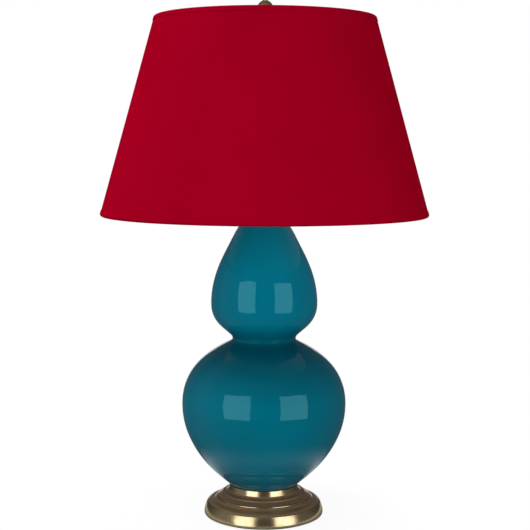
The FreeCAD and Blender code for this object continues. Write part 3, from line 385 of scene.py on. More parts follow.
# %% [markdown]
# ## Mouldings, card, cork and rubber
# The lampholder's core is a pressed phenolic moulding, its lining is a tube of grey-brown fibre
# card, and the knob is polished. Cork and rubber gaskets keep the ceramic off the brass. These are
# all plain colours with a texture of their own: swirls, fibres, granules or a matt skin.

# %% mouldings and gaskets
def moulding(name, base, streak, rough, gloss_spread=0.05):
    finish, shader = new_finish(name)
    swirl = mottle(finish, 120.0, 5.0)
    wire(finish, tint(finish, swirl, base, streak, 0.4, 0.8), shader, "Base Color")
    skin = mottle(finish, 260.0)
    gloss = spread(finish, skin, 0.3, 0.7, rough - gloss_spread, rough + gloss_spread)
    wire(finish, gloss, shader, "Roughness")
    relief(finish, shader, mottle(finish, 1200.0), 0.00004, 0.3)
    return finish


def black_moulding():
    return moulding("black_moulding", paint(44, 38, 34), paint(62, 52, 46), 0.5)


def black_gloss():
    return moulding("black_gloss", paint(24, 23, 23), paint(34, 32, 31), 0.16, 0.04)


def black_glass():
    return moulding("black_glass", paint(34, 28, 36), paint(48, 40, 52), 0.12, 0.03)


def rubber():
    return moulding("rubber", paint(34, 33, 32), paint(46, 44, 42), 0.72)


def card():
    finish, shader = new_finish("card")
    where = put(finish, "Mapping", {"Vector": at_place(finish), "Scale": (1, 1, 0.2)})
    fibres = mottle(finish, 900.0, 5.0, where.outputs[0], 0.65)
    wire(finish, tint(finish, fibres, paint(148, 130, 104), paint(186, 168, 140)), shader, "Base Color")
    wire(finish, spread(finish, fibres, 0.3, 0.7, 0.72, 0.9), shader, "Roughness")
    relief(finish, shader, fibres, 0.00012, 0.5)
    return finish


def cork_gasket():
    finish, shader = new_finish("cork_gasket")
    granules = put(finish, "TexVoronoi", {"Vector": at_place(finish), "Scale": 520.0})
    shade = put(finish, "RGBToBW", {0: granules.outputs["Color"]})
    bark = tint(finish, shade, paint(118, 84, 54), paint(190, 152, 108), 0.2, 0.8)
    wire(finish, bark, shader, "Base Color")
    wire(finish, spread(finish, shade, 0.0, 1.0, 0.75, 0.95), shader, "Roughness")
    relief(finish, shader, granules.outputs["Distance"], 0.0004, 0.5)
    return finish


# %% [markdown]
# ## Glass
# The bulb is blown glass, frosted on the inside, with a clear glass stem that carries the coil.
# Both are real glass shells with a wall, so light goes through them. Frosting is roughness that
# varies a little, as an etch does.

# %% glass
def frosted_glass():
    finish, shader = new_finish("frosted_glass", Transmission_Weight=0.82, IOR=1.5)
    etch = mottle(finish, 300.0, 4.0)
    wire(finish, tint(finish, etch, paint(238, 238, 234), paint(250, 250, 247)), shader, "Base Color")
    wire(finish, spread(finish, etch, 0.3, 0.7, 0.42, 0.55), shader, "Roughness")
    relief(finish, shader, mottle(finish, 40.0), 0.0006, 0.1)
    return finish


def clear_glass():
    finish, shader = new_finish("clear_glass", Transmission_Weight=1.0, IOR=1.5)
    seeds = mottle(finish, 180.0)
    wire(finish, tint(finish, seeds, paint(236, 242, 238), paint(250, 252, 250)), shader, "Base Color")
    wire(finish, spread(finish, seeds, 0.3, 0.7, 0.02, 0.06), shader, "Roughness")
    return finish


# %% [markdown]
# ## The cloth and its liner
# The shade is a hardback: a close plain-weave cloth in a deep red, laminated to a white styrene
# sheet. The weave has to follow the cloth as it was cut, so it reads the piece's UV map, which is
# laid out in metres. Two wave patterns are the warp and the weft, a checker says which one is on
# top, and slow noise along each thread makes the slubs that show when light rakes over it.

# %% the weave
THREAD = 0.00042
SLUBS_ACROSS = 900.0
SLUBS_ALONG = 60.0


def slubs(finish, across, along):
    """How fat a thread is. It changes from thread to thread, and slowly along each one."""
    packed = {"X": times(finish, across, SLUBS_ACROSS), "Y": times(finish, along, SLUBS_ALONG)}
    where = put(finish, "CombineXYZ", packed)
    cloud = put(finish, "TexNoise", {"Vector": where, "Scale": 1.0, "Detail": 2.0})
    return spread(finish, cloud, 0.2, 0.8, 0.55, 1.0)


def woven(finish, uv):
    """Height of a plain weave, threads a set distance apart."""
    parts = put(finish, "SeparateXYZ", {0: uv})
    ridges = []
    for axis, other in (("X", "Y"), ("Y", "X")):
        fat = slubs(finish, parts.outputs[axis], parts.outputs[other])
        phase = times(finish, parts.outputs[axis], math.pi / THREAD)
        swing = put(finish, "Math", {0: phase}, operation="SINE")
        ridge = put(finish, "Math", {0: swing}, operation="ABSOLUTE")
        ridges.append(times(finish, ridge, fat))
    squares = {"Vector": uv, "Scale": 1.0 / THREAD, "Color1": grey(1.0), "Color2": grey(0.0)}
    checker = put(finish, "TexChecker", squares)
    over = put(finish, "RGBToBW", {0: checker.outputs["Color"]})
    warp = times(finish, ridges[0], over)
    weft = times(finish, ridges[1], sums(finish, 1.0, over, "SUBTRACT"))
    return sums(finish, warp, weft)


# %% red cloth, white liner and green felt
def red_cloth():
    finish, shader = new_finish("red_cloth", Specular_IOR_Level=0.0, Sheen_Weight=0.12, Sheen_Roughness=0.4)
    shader.inputs["Sheen Tint"].default_value = paint(255, 20, 60)
    uv = put(finish, "UVMap", uv_map="cut").outputs[0]
    weave = woven(finish, uv)
    dye = tint(finish, mottle(finish, 7.0, 5.0), paint(154, 0, 29), paint(161, 0, 32))
    gaps = spread(finish, weave, 0.0, 0.55, 0.3, 0.0)
    wire(finish, mixed(finish, gaps, dye, paint(124, 0, 20)), shader, "Base Color")
    wire(finish, spread(finish, mottle(finish, 240.0), 0.3, 0.7, 0.55, 0.7), shader, "Roughness")
    relief(finish, shader, weave, 0.00012, 0.35)
    return finish


def white_styrene():
    finish, shader = new_finish("white_styrene", Subsurface_Weight=0.15, Subsurface_Scale=0.002)
    haze = mottle(finish, 30.0, 4.0)
    # The pink tint is painted light: red light shining through the cloth, painted on the white liner.
    wire(finish, tint(finish, haze, paint(243, 226, 218), paint(247, 232, 225)), shader, "Base Color")
    wire(finish, spread(finish, haze, 0.3, 0.7, 0.5, 0.56), shader, "Roughness")
    relief(finish, shader, mottle(finish, 500.0), 0.00002, 0.1)
    return finish


def felt():
    finish, shader = new_finish("felt", Sheen_Weight=0.5, Sheen_Roughness=0.5)
    where = put(finish, "Mapping", {"Vector": at_place(finish), "Scale": (1, 1, 0.3)})
    matted = {"Vector": where, "Scale": 900.0, "Detail": 6.0, "Distortion": 2.5}
    fibres = put(finish, "TexNoise", matted)
    wire(finish, tint(finish, fibres, paint(24, 40, 34), paint(56, 78, 68)), shader, "Base Color")
    wire(finish, spread(finish, fibres, 0.3, 0.7, 0.85, 1.0), shader, "Roughness")
    relief(finish, shader, fibres, 0.0004, 0.7)
    return finish


# %% [markdown]
# ## Every solid gets its finish
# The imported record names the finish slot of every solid. This table ties each slot to the finish
# made above, and the loop puts it in the solid's own material slots. No mesh is touched.

# %% put the finishes on
FINISHES = {
    "felt": felt(),
    "antique_brass": antique_brass(),
    "antique_brass_wire": antique_brass("antique_brass_wire", turned=False, rough=0.3),
    "bright_brass": bright_brass(),
    "cast_iron": cast_iron(),
    "steel": steel(),
    "nickel": nickel(),
    "rubber": rubber(),
    "cork_gasket": cork_gasket(),
    "teal_glaze": teal_glaze(),
    "card": card(),
    "black_moulding": black_moulding(),
    "black_gloss": black_gloss(),
    "aluminium": aluminium(),
    "black_glass": black_glass(),
    "solder": solder(),
    "frosted_glass": frosted_glass(),
    "clear_glass": clear_glass(),
    "tungsten": tungsten(),
    "red_fabric": red_cloth(),
    "white_styrene": white_styrene(),
}
for part in frame["record"]["subparts"]:
    solid = frame["nodes"][part["node"]]
    solid.data.materials.clear()
    solid.data.materials.append(FINISHES[part["material_slot"]])
print(len(FINISHES), "finishes")

# %% [markdown]
# ## Making a piece
# Each new piece starts as a small bmesh, gets its shape from operators, and is kept with its place
# in the mesh, so its object stays at the origin. It then rides on the body that carries it. Sheets
# are shaped as a thin skin first, and a Solidify modifier gives them their wall at the end.

# %% keeping a piece
def keep(bm, name, slot, body, *stands_for, smooth=True):
    """Turns a bmesh into a piece of the lamp, and returns it."""
    mesh = bpy.data.meshes.new(name)
    for face in bm.faces:
        face.smooth = smooth
    for edge in bm.edges:
        edge.smooth = not edge.is_boundary
    bm.to_mesh(mesh)
    bm.free()
    mesh.materials.append(FINISHES[slot])
    piece = bpy.data.objects.new(name, mesh)
    bpy.context.scene.collection.objects.link(piece)
    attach(piece, body)
    if stands_for:
        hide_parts(*stands_for)
    print(name, len(mesh.polygons), "faces")
    return piece


def thicken(piece, thickness, offset):
    """Gives a skin its wall: behind its faces for an offset of -1, in front of them for 1."""
    wall = piece.modifiers.new("thickness", "SOLIDIFY")
    wall.thickness = thickness
    wall.offset = offset


# %% drawing a profile
def profile(points):
    """A bmesh with one open chain of edges, in the plane of the lamp's axis."""
    bm = bmesh.new()
    corners = [bm.verts.new((r, 0, z)) for r, z in points]
    for first, second in zip(corners, corners[1:]):
        bm.edges.new((first, second))
    bm.verts.ensure_lookup_table()
    return bm


def rounded(bm, corners, offset, segments):
    """Rounds some corners of a profile."""
    bmesh.ops.bevel(
        bm,
        geom=corners,
        offset=offset,
        offset_type="OFFSET",
        segments=segments,
        profile=0.5,
        affect="VERTICES",
        material=-1,
    )


def in_order(bm, r, z):
    """The chain's corners, from the end that is nearest to a radius and a height."""
    ends = [corner for corner in bm.verts if len(corner.link_edges) == 1]
    here = min(ends, key=lambda corner: math.hypot(corner.co.x - r, corner.co.z - z))
    found = [here]
    while here:
        beyond = [edge.other_vert(here) for edge in here.link_edges]
        here = next((corner for corner in beyond if corner not in found), None)
        if here:
            found.append(here)
    return found


# %% [markdown]
# ## The shade's cloth
# The cloth is cut flat, as a wide arc, and rolled round the liner. At the back its free end is
# folded under and glued over the end that it started from, which leaves a raised seam. So the
# cloth here is a straight edge, spun a few steps further than a full turn. The last columns are
# then laid along the seam: up over the first end, flat, round the fold and back underneath. The UV
# map is the flat cut itself, because a cone unrolls into an arc about its own tip, and that keeps
# the weave straight at the front and on the bias further round, as on the real one.

# %% the sizes of the shade
LOW_R = 0.2423
LOW_Z = 0.45255
HIGH_R = 0.1613
HIGH_Z = 0.74195
CLOTH = 0.0006
GLUE = 0.00008
CUT_EDGE = 0.0032
BACK = math.pi / 2
ROUND = 288
STEP = 2 * math.pi / ROUND
SLANT = math.hypot(LOW_R - HIGH_R, HIGH_Z - LOW_Z)
ALONG = Vector((HIGH_R - LOW_R, HIGH_Z - LOW_Z)) / SLANT
OUTWARD = Vector((ALONG.y, -ALONG.x))
TIP = LOW_R * SLANT / (LOW_R - HIGH_R)
print("slant", round(SLANT, 4), "cut's arc", round(math.degrees(2 * math.pi * LOW_R / TIP), 1))


def on_shade(up, depth):
    """Radius and height, up the slant from the lower edge and in from the cloth's face."""
    spot = Vector((LOW_R, LOW_Z)) + ALONG * up - OUTWARD * depth
    return (spot.x, spot.y)


# %% [markdown]
# ## The seam
# The lap could be a painted line or a bump, but on a real shade it stands out by two layers of
# cloth and its fold catches the light. So it is a path here: a list of steps round the shade, each
# with its lift off the liner, that the last columns of every strip follow. A second function says
# how far the seam stands out at any angle, for what is glued on over it.

# %% where a strip's last columns go
FOLD_LIFT = 2 * (CLOTH + GLUE) + GLUE / 2
FOLD_MIDDLE = (FOLD_LIFT + GLUE) / 2
FOLD_AT = 2.6
FOLD_WIDE = 0.15
FOLD_TURNS = 6
FIRST_RISE = 0.6
NEXT_RISE = 0.9
UNDER_FROM = 0.8
UNDER_TO = 1.4
SEAM_REACH = 1.6
SEAM_SLOPE = 1.2
STRIP_STEPS = ROUND + FOLD_AT + FOLD_WIDE + FOLD_WIDE + UNDER_TO


def seam_path():
    """Steps past the full turn, and lift: over the first end, flat, and folded under."""
    path = [(0.0, FIRST_RISE * FOLD_LIFT), (0.5, NEXT_RISE * FOLD_LIFT)]
    path += [(1.0, FOLD_LIFT), (2.0, FOLD_LIFT)]
    for turn_count in range(FOLD_TURNS + 1):
        angle = math.pi * (0.5 - turn_count / FOLD_TURNS)
        lift = FOLD_MIDDLE + (FOLD_LIFT - FOLD_MIDDLE) * math.sin(angle)
        path.append((FOLD_AT + FOLD_WIDE * math.cos(angle), lift))
    return path + [(FOLD_AT - UNDER_FROM, GLUE), (FOLD_AT - UNDER_TO, GLUE)]


def seam_lift(angle):
    """How far the cloth's face stands out at an angle round the lamp."""
    steps = ((angle - BACK) / STEP) % ROUND
    if steps > ROUND - 1:
        return FIRST_RISE * FOLD_LIFT * (steps - ROUND + 1)
    rise = FIRST_RISE * FOLD_LIFT + (1 - FIRST_RISE) * FOLD_LIFT * min(steps, 1.0)
    return rise * min(max((FOLD_AT + SEAM_REACH - steps) / SEAM_SLOPE, 0.0), 1.0)


# %% rolling a strip round the shade
def rolled(bm, end, side, start, extra_lift=None):
    """Rolls a profile into a strip whose end folds under. Returns its columns and distances."""
    chain = in_order(bm, *end)
    spots = [Vector((corner.co.x, corner.co.z)) for corner in chain]
    after = spots[1:] + spots[-1:]
    before = spots[:1] + spots[:-1]
    slopes = [(b - a).normalized() for a, b in zip(before, after)]
    normals = [Vector((slope.y, -slope.x)) * side for slope in slopes]
    bm.verts.index_update()
    places = [corner.index for corner in chain]
    tail = seam_path()
    count = ROUND - 1 + len(tail)
    bmesh.ops.spin(
        bm,
        geom=bm.verts[:] + bm.edges[:],
        cent=(0, 0, 0),
        axis=(0, 0, 1),
        angle=STEP * count,
        steps=count,
        use_merge=False,
        use_duplicate=False,
    )
    corners = bm.verts[:]
    columns = [[corners[k * len(chain) + i] for i in places] for k in range(count + 1)]
    route = [(float(k), 0.0) for k in range(ROUND)] + [(ROUND + s, lift) for s, lift in tail]
    for column, (steps, lift) in zip(columns, route):
        angle = start + steps * STEP
        for row, corner in enumerate(column):
            more = extra_lift(row, angle) if extra_lift else 0.0
            at = spots[row] + normals[row] * (lift + more)
            corner.co = (at.x * math.cos(angle), at.x * math.sin(angle), at.y)
    bmesh.ops.recalc_face_normals(bm, faces=bm.faces[:])
    across = [0.0]
    for a, b in zip(spots, spots[1:]):
        across.append(across[-1] + (b - a).length)
    return columns, across


# %% the strip's faces and its flat cut
def faces_out(bm, columns):
    """Turns a strip's faces over if the outer end of its first column looks towards the axis."""
    outer = {columns[0][0], columns[0][1], columns[1][0], columns[1][1]}
    first = next(face for face in columns[0][0].link_faces if set(face.verts) == outer)
    first.normal_update()
    middle = first.calc_center_median()
    if first.normal.x * middle.x + first.normal.y * middle.y < 0:
        bmesh.ops.reverse_faces(bm, faces=bm.faces[:])


def lay_cut(bm, columns, flat_place):
    """Gives every corner its place in the flat cut, in metres, as the piece's UV map."""
    layer = bm.loops.layers.uv.new("cut")
    flat = {}
    for column_number, column in enumerate(columns):
        for row, corner in enumerate(column):
            flat[corner] = flat_place(column_number, row)
    for face in bm.faces:
        for loop in face.loops:
            loop[layer].uv = flat[loop.vert]


# %% the cloth
CLOTH_CUTS = 11

cloth_bm = profile([on_shade(CUT_EDGE, 0), on_shade(SLANT - CUT_EDGE, 0)])
bmesh.ops.subdivide_edges(cloth_bm, edges=cloth_bm.edges[:], cuts=CLOTH_CUTS)
cloth_columns, cloth_across = rolled(cloth_bm, on_shade(0, 0), 1, BACK)
faces_out(cloth_bm, cloth_columns)


def on_fan(column_number, row):
    """A corner's place in the wide arc that the cone unrolls into."""
    reach = TIP - CUT_EDGE - cloth_across[row]
    swing = (column_number * STEP - math.pi) * LOW_R / TIP
    return (reach * math.sin(swing), reach * math.cos(swing))


lay_cut(cloth_bm, cloth_columns, on_fan)
cloth = keep(cloth_bm, "shade_cloth", "red_fabric", "shade", "shade_fabric")
thicken(cloth, CLOTH, -1.0)

# %% [markdown]
# ## The turned edges
# A wire ring carries each edge of the shade, and a bias strip of the same cloth is glued over it:
# up the outside, round the wire and back onto the liner. The strip is longer on one side than on
# the other, so inside it gathers in small puckers, its glued edge wanders a little, and at the top
# it is slit where each arm of the spider passes. It starts from a few corners, rounded by a bevel
# of their corners, is rolled in the same way as the cloth, and rides up over the cloth's seam. Its
# own lap is a few steps away from that seam, so that the edge isn't thick twice in one place.

# %% the sizes of a turned edge
TRIM = 0.0006
WIRE_R = 0.0016
WIRE_EASE = 0.0005
WRAP = WIRE_R + WIRE_EASE
WIRE_DEPTH = 2 * CLOTH + GLUE + WRAP
FAR_DEPTH = WIRE_DEPTH + WRAP
WIRE_RISE = TRIM + (FAR_DEPTH + GLUE) / 2
OUTSIDE_UP = 0.0075
INSIDE_UP = 0.0095
RAMP = 0.0014
LINER_DEPTH = 2 * CLOTH + 2 * GLUE
LAP_APART = 12
HEM_START = BACK + LAP_APART * STEP
ROUNDING = 0.98
RIM_SEGMENTS = 6
INNER_SEGMENTS = 4


def edge_profile(top):
    """The strip's cross-section over the upper or the lower edge, and its first corner's place."""

    def spot(up, depth):
        return on_shade(SLANT - up if top else up, depth)

    corners = [
        spot(OUTSIDE_UP, -GLUE),
        spot(TRIM, -GLUE),
        spot(TRIM, FAR_DEPTH),
        spot(WIRE_RISE + WRAP, FAR_DEPTH),
        spot(WIRE_RISE + WRAP, WIRE_DEPTH),
        spot(WIRE_RISE + WRAP + RAMP, LINER_DEPTH),
        spot(INSIDE_UP, LINER_DEPTH),
    ]
    bm = profile(corners)
    rim = [bm.verts[1], bm.verts[2]]
    inner = [bm.verts[3]]
    rounded(bm, rim, ROUNDING * (FAR_DEPTH + GLUE) / 2, RIM_SEGMENTS)
    rounded(bm, inner, ROUNDING * WRAP, INNER_SEGMENTS)
    end_edges = [edge for edge in bm.edges if any(len(v.link_edges) == 1 for v in edge.verts)]
    bmesh.ops.subdivide_edges(bm, edges=end_edges, cuts=2)
    return bm, corners[0]


# %% puckers, a wandering edge and slits
OUTSIDE_SHARE = 0.45
INSIDE_SHARE = 0.7
SHARE_FADE = 0.2
PUCKER = 0.0008
PUCKER_RING = 60
OTHER_EDGE = 7
PUCKER_DRIFT = 2
WANDER = 0.0002
WANDER_SCALE = 90
WANDER_SLICE = 3.0
ARM_STEPS = ROUND // 3


def strip_lift(share, angle, top):
    """Lift over the cloth's seam outside, and puckers inside. Share goes from 0 to 1 across."""
    outside = min(max((OUTSIDE_SHARE - share) / SHARE_FADE, 0.0), 1.0)
    inside = min(max((share - INSIDE_SHARE) / SHARE_FADE, 0.0), 1.0)
    ring = (PUCKER_RING * math.cos(angle), PUCKER_RING * math.sin(angle))
    gather = noise.noise((*ring, OTHER_EDGE * top + PUCKER_DRIFT * share))
    return seam_lift(angle) * outside + PUCKER * inside * max(gather, 0.0)


def wander(columns):
    """Moves the strip's outer edge up and down the slant by a little."""
    for column in columns:
        corner = column[0]
        drift = noise.noise((*(corner.co.xy * WANDER_SCALE), WANDER_SLICE)) * WANDER
        flat_out = Vector((corner.co.x, corner.co.y)).normalized()
        corner.co += Vector((*(flat_out * ALONG.x), ALONG.y)) * drift


def slit_for_arms(bm, columns):
    """Opens the inner part of the strip where the spider's arms pass."""
    first = round((BACK - HEM_START) / STEP) % ARM_STEPS
    rows = len(columns[0])
    for arm in range(first, ROUND, ARM_STEPS):
        inside = set()
        for column in columns[arm - 1 : arm + 2]:
            inside.update(column[rows // 2 :])
        doomed = [face for face in bm.faces if all(corner in inside for corner in face.verts)]
        bmesh.ops.delete(bm, geom=doomed, context="FACES")


# %% the two turned edges
def turned_edge(name, top, stands_for):
    """A bias strip folded over the upper or the lower edge of the shade."""
    bm, outer_end = edge_profile(top)
    last_row = len(in_order(bm, *outer_end)) - 1
    radius = HIGH_R if top else LOW_R

    def lift(row, angle):
        return strip_lift(row / last_row, angle, top)

    def on_bias(column_number, row):
        around = column_number * STEP * radius
        return ((around - across[row]) * math.sqrt(0.5), (around + across[row]) * math.sqrt(0.5))

    columns, across = rolled(bm, outer_end, 1 if top else -1, HEM_START, lift)
    faces_out(bm, columns)
    wander(columns)
    lay_cut(bm, columns, on_bias)
    if top:
        slit_for_arms(bm, columns)
    print(name, "strip", round(STRIP_STEPS * STEP * radius, 3), "by", round(across[-1], 4))
    folded = keep(bm, name, "red_fabric", "shade", stands_for)
    thicken(folded, TRIM, 1.0)
    return folded


lower_edge = turned_edge("shade_lower_edge", False, "shade_bottom_hem")
upper_edge = turned_edge("shade_upper_edge", True, "shade_top_hem")

# %% [markdown]
# ## The felt
# A disc of wool felt is glued under the base so that it doesn't scratch the table. It is punched
# from a sheet, so its rim is square but fuzzy: a circle is filled, pulled up to the felt's
# thickness and given a small bevel, and its rim then wanders by a fibre's width.

# %% the felt
FELT_R = 0.08459
FELT_T = 0.0016
FELT_BEVEL = 0.0003
FELT_FUZZ = 0.0002
FELT_FIBRES = 900.0
FELT_SIDES = 180
LEVEL = 1e-6

bm = bmesh.new()
bmesh.ops.create_circle(bm, cap_ends=True, radius=FELT_R, segments=FELT_SIDES)
risen = bmesh.ops.extrude_face_region(bm, geom=bm.faces[:])["geom"]
bmesh.ops.translate(bm, vec=(0, 0, FELT_T), verts=[v for v in risen if isinstance(v, bmesh.types.BMVert)])
bmesh.ops.recalc_face_normals(bm, faces=bm.faces[:])
rims = [edge for edge in bm.edges if abs(edge.verts[0].co.z - edge.verts[1].co.z) < LEVEL]
bmesh.ops.bevel(bm, geom=rims, offset=FELT_BEVEL, segments=2, profile=0.5, affect="EDGES", material=-1)
for corner in bm.verts:
    fuzz = noise.noise(corner.co * FELT_FIBRES) * FELT_FUZZ
    corner.co.x *= 1 - abs(fuzz) / FELT_R
    corner.co.y *= 1 - abs(fuzz) / FELT_R
felt_pad = keep(bm, "base_felt", "felt", "lamp_body", "base_felt_pad", smooth=False)

# %% [markdown]
# ## The bulb's screw cap
# The cap of a bulb is a thin aluminium cup with its thread rolled into the wall, so inside and
# outside show the same wave. A wavy upright line that is spun once round while it climbs by one
# turn of the thread closes on itself. It is cut level at both ends, which are then pulled on: up
# into a plain collar that grips the glass, and down into the cone that ends at the glass seal.

# %% the sizes of the screw cap
PITCH = 0.003629
CREST_R = 0.0132
THREAD_DEEP = 0.0011
THREAD_LOW = 0.5453
THREAD_HIGH = 0.5562
CAP_TOP = 0.5651
CONE_LOW = 0.5425
CAP_WALL = 0.0003
WAVE_CUTS = 10
CAP_STEPS = 60
SAME_SPOT = 1e-5
THREAD_TURNS = math.ceil((THREAD_HIGH - THREAD_LOW) / PITCH) + 1
COLLAR_RIMS = ((CREST_R, THREAD_HIGH + 0.0008), (CREST_R, CAP_TOP - 0.0012), (0.0127, CAP_TOP))
CONE_RIMS = ((0.0126, THREAD_LOW - 0.0005), (0.0101, CONE_LOW + 0.0004), (0.0096, CONE_LOW))

# %% rolling the thread
bm = bmesh.new()
low_end = bm.verts.new((0, 0, THREAD_LOW - PITCH))
high_end = bm.verts.new((0, 0, THREAD_LOW + THREAD_TURNS * PITCH))
bm.edges.new((low_end, high_end))
bmesh.ops.subdivide_edges(bm, edges=bm.edges[:], cuts=(THREAD_TURNS + 1) * WAVE_CUTS - 1)
for corner in bm.verts:
    wave = math.cos(2 * math.pi * (corner.co.z - THREAD_LOW) / PITCH)
    corner.co.x = CREST_R - THREAD_DEEP * (1 - wave) / 2
bmesh.ops.spin(
    bm,
    geom=bm.verts[:] + bm.edges[:],
    cent=(0, 0, 0),
    axis=(0, 0, 1),
    dvec=(0, 0, PITCH / CAP_STEPS),
    angle=2 * math.pi,
    steps=CAP_STEPS,
    use_merge=False,
    use_duplicate=False,
)
bmesh.ops.remove_doubles(bm, verts=bm.verts[:], dist=SAME_SPOT)
print("thread", THREAD_TURNS, "turns of", PITCH * 1000, "mm")


# %% cutting it level and pulling on its ends
def pulled(bm, edges, r, z):
    """Pulls a rim on to a level circle, and returns the new rim's edges."""
    made = bmesh.ops.extrude_edge_only(bm, edges=edges)["geom"]
    for corner in made:
        if isinstance(corner, bmesh.types.BMVert):
            flat = math.hypot(corner.co.x, corner.co.y)
            corner.co = (corner.co.x * r / flat, corner.co.y * r / flat, z)
    return [edge for edge in made if isinstance(edge, bmesh.types.BMEdge)]


def rim_at(bm, z):
    """The edges of the open rim at a height."""
    return [e for e in bm.edges if e.is_boundary and all(abs(v.co.z - z) < LEVEL for v in e.verts)]


for height, facing in ((THREAD_LOW, -1), (THREAD_HIGH, 1)):
    bmesh.ops.bisect_plane(
        bm,
        geom=bm.verts[:] + bm.edges[:] + bm.faces[:],
        plane_co=(0, 0, height),
        plane_no=(0, 0, facing),
        clear_outer=True,
        clear_inner=False,
    )
for height, rims in ((THREAD_HIGH, COLLAR_RIMS), (THREAD_LOW, CONE_RIMS)):
    rim = rim_at(bm, height)
    for r, z in rims:
        rim = pulled(bm, rim, r, z)
bmesh.ops.recalc_face_normals(bm, faces=bm.faces[:])
screw_cap = keep(bm, "bulb_screw_cap", "aluminium", "bulb", "bulb_cap")
thicken(screw_cap, CAP_WALL, -1.0)

# %% [markdown]
# ## The room
# The backdrop is white all round for the camera and through glass. A white that glaze and brass
# mirrored all round would wash them out, so they see it straight ahead, as the photograph's do, and
# a dim room beyond that. The room is a world whose colour depends on the direction of a ray: how
# far it goes to the side, ahead, down or up. The dim part is a little brighter on the left, as the
# photograph's glaze is.

# %% the room
WALL_LIGHT = 1.0
WALL_AHEAD = (0.0, 0.1)
WALL_ACROSS = (0.26, 0.225)
WALL_LOW = (-0.36, -0.33)
WALL_HIGH = (0.16, 0.125)
ROOM_LEFT = 0.3
ROOM_RIGHT = 0.15
ROOM_BACK = 0.08
ROOM_FRONT = 0.08
FAR_END = (0.1, 0.6)
NEAR_END = (-0.75, -0.93)

room = bpy.data.worlds.new("studio")
room.use_nodes = True
bpy.context.scene.world = room
gaze = put(room, "SeparateXYZ", {0: put(room, "TexCoord").outputs["Generated"]}).outputs
sideways = sums(room, gaze["X"], 0.0, "ABSOLUTE")
middle = times(room, fade(room, gaze["Y"], *WALL_AHEAD), fade(room, sideways, *WALL_ACROSS))
level = times(room, fade(room, gaze["Z"], *WALL_LOW), fade(room, gaze["Z"], *WALL_HIGH))
white_wall = times(room, middle, level)
left_to_right = spread(room, gaze["X"], -1.0, 1.0)
sides = tint(room, left_to_right, grey(ROOM_LEFT), grey(ROOM_RIGHT), 0.1, 0.9)
far_dim = mixed(room, spread(room, gaze["Y"], *FAR_END), sides, grey(ROOM_BACK))
dim = mixed(room, spread(room, gaze["Y"], *NEAR_END), far_dim, grey(ROOM_FRONT))
rays = put(room, "LightPath").outputs
direct = larger(room, rays["Is Camera Ray"], rays["Is Transmission Ray"])
room_light = mixed(room, larger(room, white_wall, direct), dim, grey(WALL_LIGHT))
room.node_tree.links.new(room_light, room.node_tree.nodes["Background"].inputs["Color"])
print("room", ROOM_LEFT, "on the left,", ROOM_RIGHT, "on the right")

# %% [markdown]
# ## The lights
# Two tall softboxes stand left and right of the camera and lean in at the top. Their sizes and
# places follow from the square highlights in the glaze: the mirror direction at each corner of a
# highlight points at a corner of its box. Three panels fill in from high on the left, from above
# and from behind. They carry the shade and aren't mirrored, because the photograph's glaze shows
# two boxes only.

# %% the lights
BOX_LIGHT = 3.0


def softbox(name, place, size, brightness, yaw=0.0, lean_in=45.0, roll=0.0, mirrored=False):
    """A rectangular light that faces the lamp's axis, then turns, leans and rolls by degrees."""
    lamp = bpy.data.lights.new(name, "AREA")
    lamp.shape = "RECTANGLE"
    lamp.size, lamp.size_y = size
    lamp.energy = brightness * math.pi * lamp.size * lamp.size_y
    box = bpy.data.objects.new(name, lamp)
    facing = math.atan2(place[0], -place[1]) + math.radians(yaw)
    pose = Matrix.Rotation(facing, 4, "Z") @ Matrix.Rotation(math.radians(90 - lean_in), 4, "X")
    pose = pose @ Matrix.Rotation(math.radians(roll), 4, "Z")
    box.location = place
    box.rotation_euler = pose.to_euler()
    box.visible_camera = False
    box.visible_glossy = mirrored
    bpy.context.scene.collection.objects.link(box)
    print(name, "at", place)


LEFT_POSE = {"yaw": 12.6, "lean_in": 9.6, "roll": 2.6, "mirrored": True}
RIGHT_POSE = {"yaw": -11.0, "lean_in": 5.2, "roll": -2.7, "mirrored": True}

softbox("box_left", (-1.134, -1.405, 0.414), (1.27, 1.35), BOX_LIGHT, **LEFT_POSE)
softbox("box_right", (1.241, -1.312, 0.397), (1.32, 1.32), BOX_LIGHT, **RIGHT_POSE)
softbox("panel_high_left", (-1.1, 0.1, 1.9), (1.1, 1.1), 5.4)
softbox("panel_over", (0.75, -0.75, 1.9), (1.1, 0.9), 1.5)
softbox("panel_behind", (0.7, 2.1, 1.2), (1.8, 1.4), 1.9, lean_in=15.0)

# %% [markdown]
# ## The floor
# The floor is a pale round top that thins out towards its rim, so it meets the backdrop without a
# line. The camera, mirrors and glass see it nearly white, and the rest of it is plain pale paint
# that takes the lamp's shadow. From below and right under the foot it is clear, so the felt can be
# seen and gets light. Close to the foot a mirror sees the floor's own shade instead of its white,
# as it does beside a real foot.

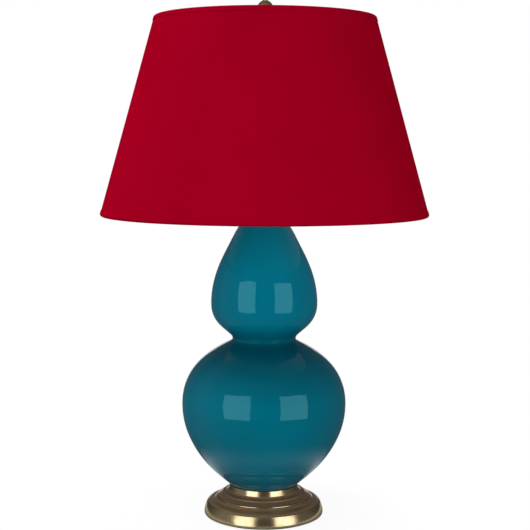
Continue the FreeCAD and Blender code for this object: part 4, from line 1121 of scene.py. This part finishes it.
# %% the floor's finish
FLOOR_GREY = 0.5
WHITE_SHARE = 0.82
WHITE_GLOW = 1.12
THIN_FROM = 0.105
THIN_TO = 0.24
FOOT_IN = 0.083
FOOT_OUT = 0.085
FOOT_SHADE_IN = 0.106
FOOT_SHADE_OUT = 0.15


def floor_finish():
    finish, shader = new_finish("pale_floor", Roughness=0.9)
    shader.inputs["Base Color"].default_value = grey(FLOOR_GREY)
    reach = put(finish, "VectorMath", {0: at_place(finish)}, operation="LENGTH").outputs["Value"]
    rays = put(finish, "LightPath").outputs
    mirrored = larger(finish, rays["Is Glossy Ray"], rays["Is Transmission Ray"])
    off_foot = spread(finish, reach, FOOT_SHADE_IN, FOOT_SHADE_OUT)
    seen = larger(finish, rays["Is Camera Ray"], times(finish, mirrored, off_foot))
    glow = put(finish, "Emission", {"Color": grey(1.0), "Strength": WHITE_GLOW})
    pale = put(finish, "MixShader", {0: times(finish, seen, WHITE_SHARE), 1: shader, 2: glow})
    from_below = put(finish, "NewGeometry").outputs["Backfacing"]
    under_foot = spread(finish, reach, FOOT_IN, FOOT_OUT, 1.0, 0.0)
    thinned = larger(finish, fade(finish, reach, THIN_FROM, THIN_TO), from_below)
    clear = put(finish, "BsdfTransparent")
    faded = put(finish, "MixShader", {0: larger(finish, thinned, under_foot), 1: pale, 2: clear})
    end = finish.node_tree.nodes["Material Output"]
    wire(finish, faded, end, "Surface")
    return finish


# %% the floor
FLOOR_R = 0.34
FLOOR_DROP = -0.0003
FLOOR_SIDES = 96

bm = bmesh.new()
bmesh.ops.create_circle(bm, cap_ends=True, radius=FLOOR_R, segments=FLOOR_SIDES)
bmesh.ops.translate(bm, vec=(0, 0, FLOOR_DROP), verts=bm.verts[:])
floor_mesh = bpy.data.meshes.new("floor")
bm.to_mesh(floor_mesh)
bm.free()
floor_mesh.materials.append(floor_finish())
floor = bpy.data.objects.new("floor", floor_mesh)
bpy.context.scene.collection.objects.link(floor)
print("floor", 2 * FLOOR_R, "m across")
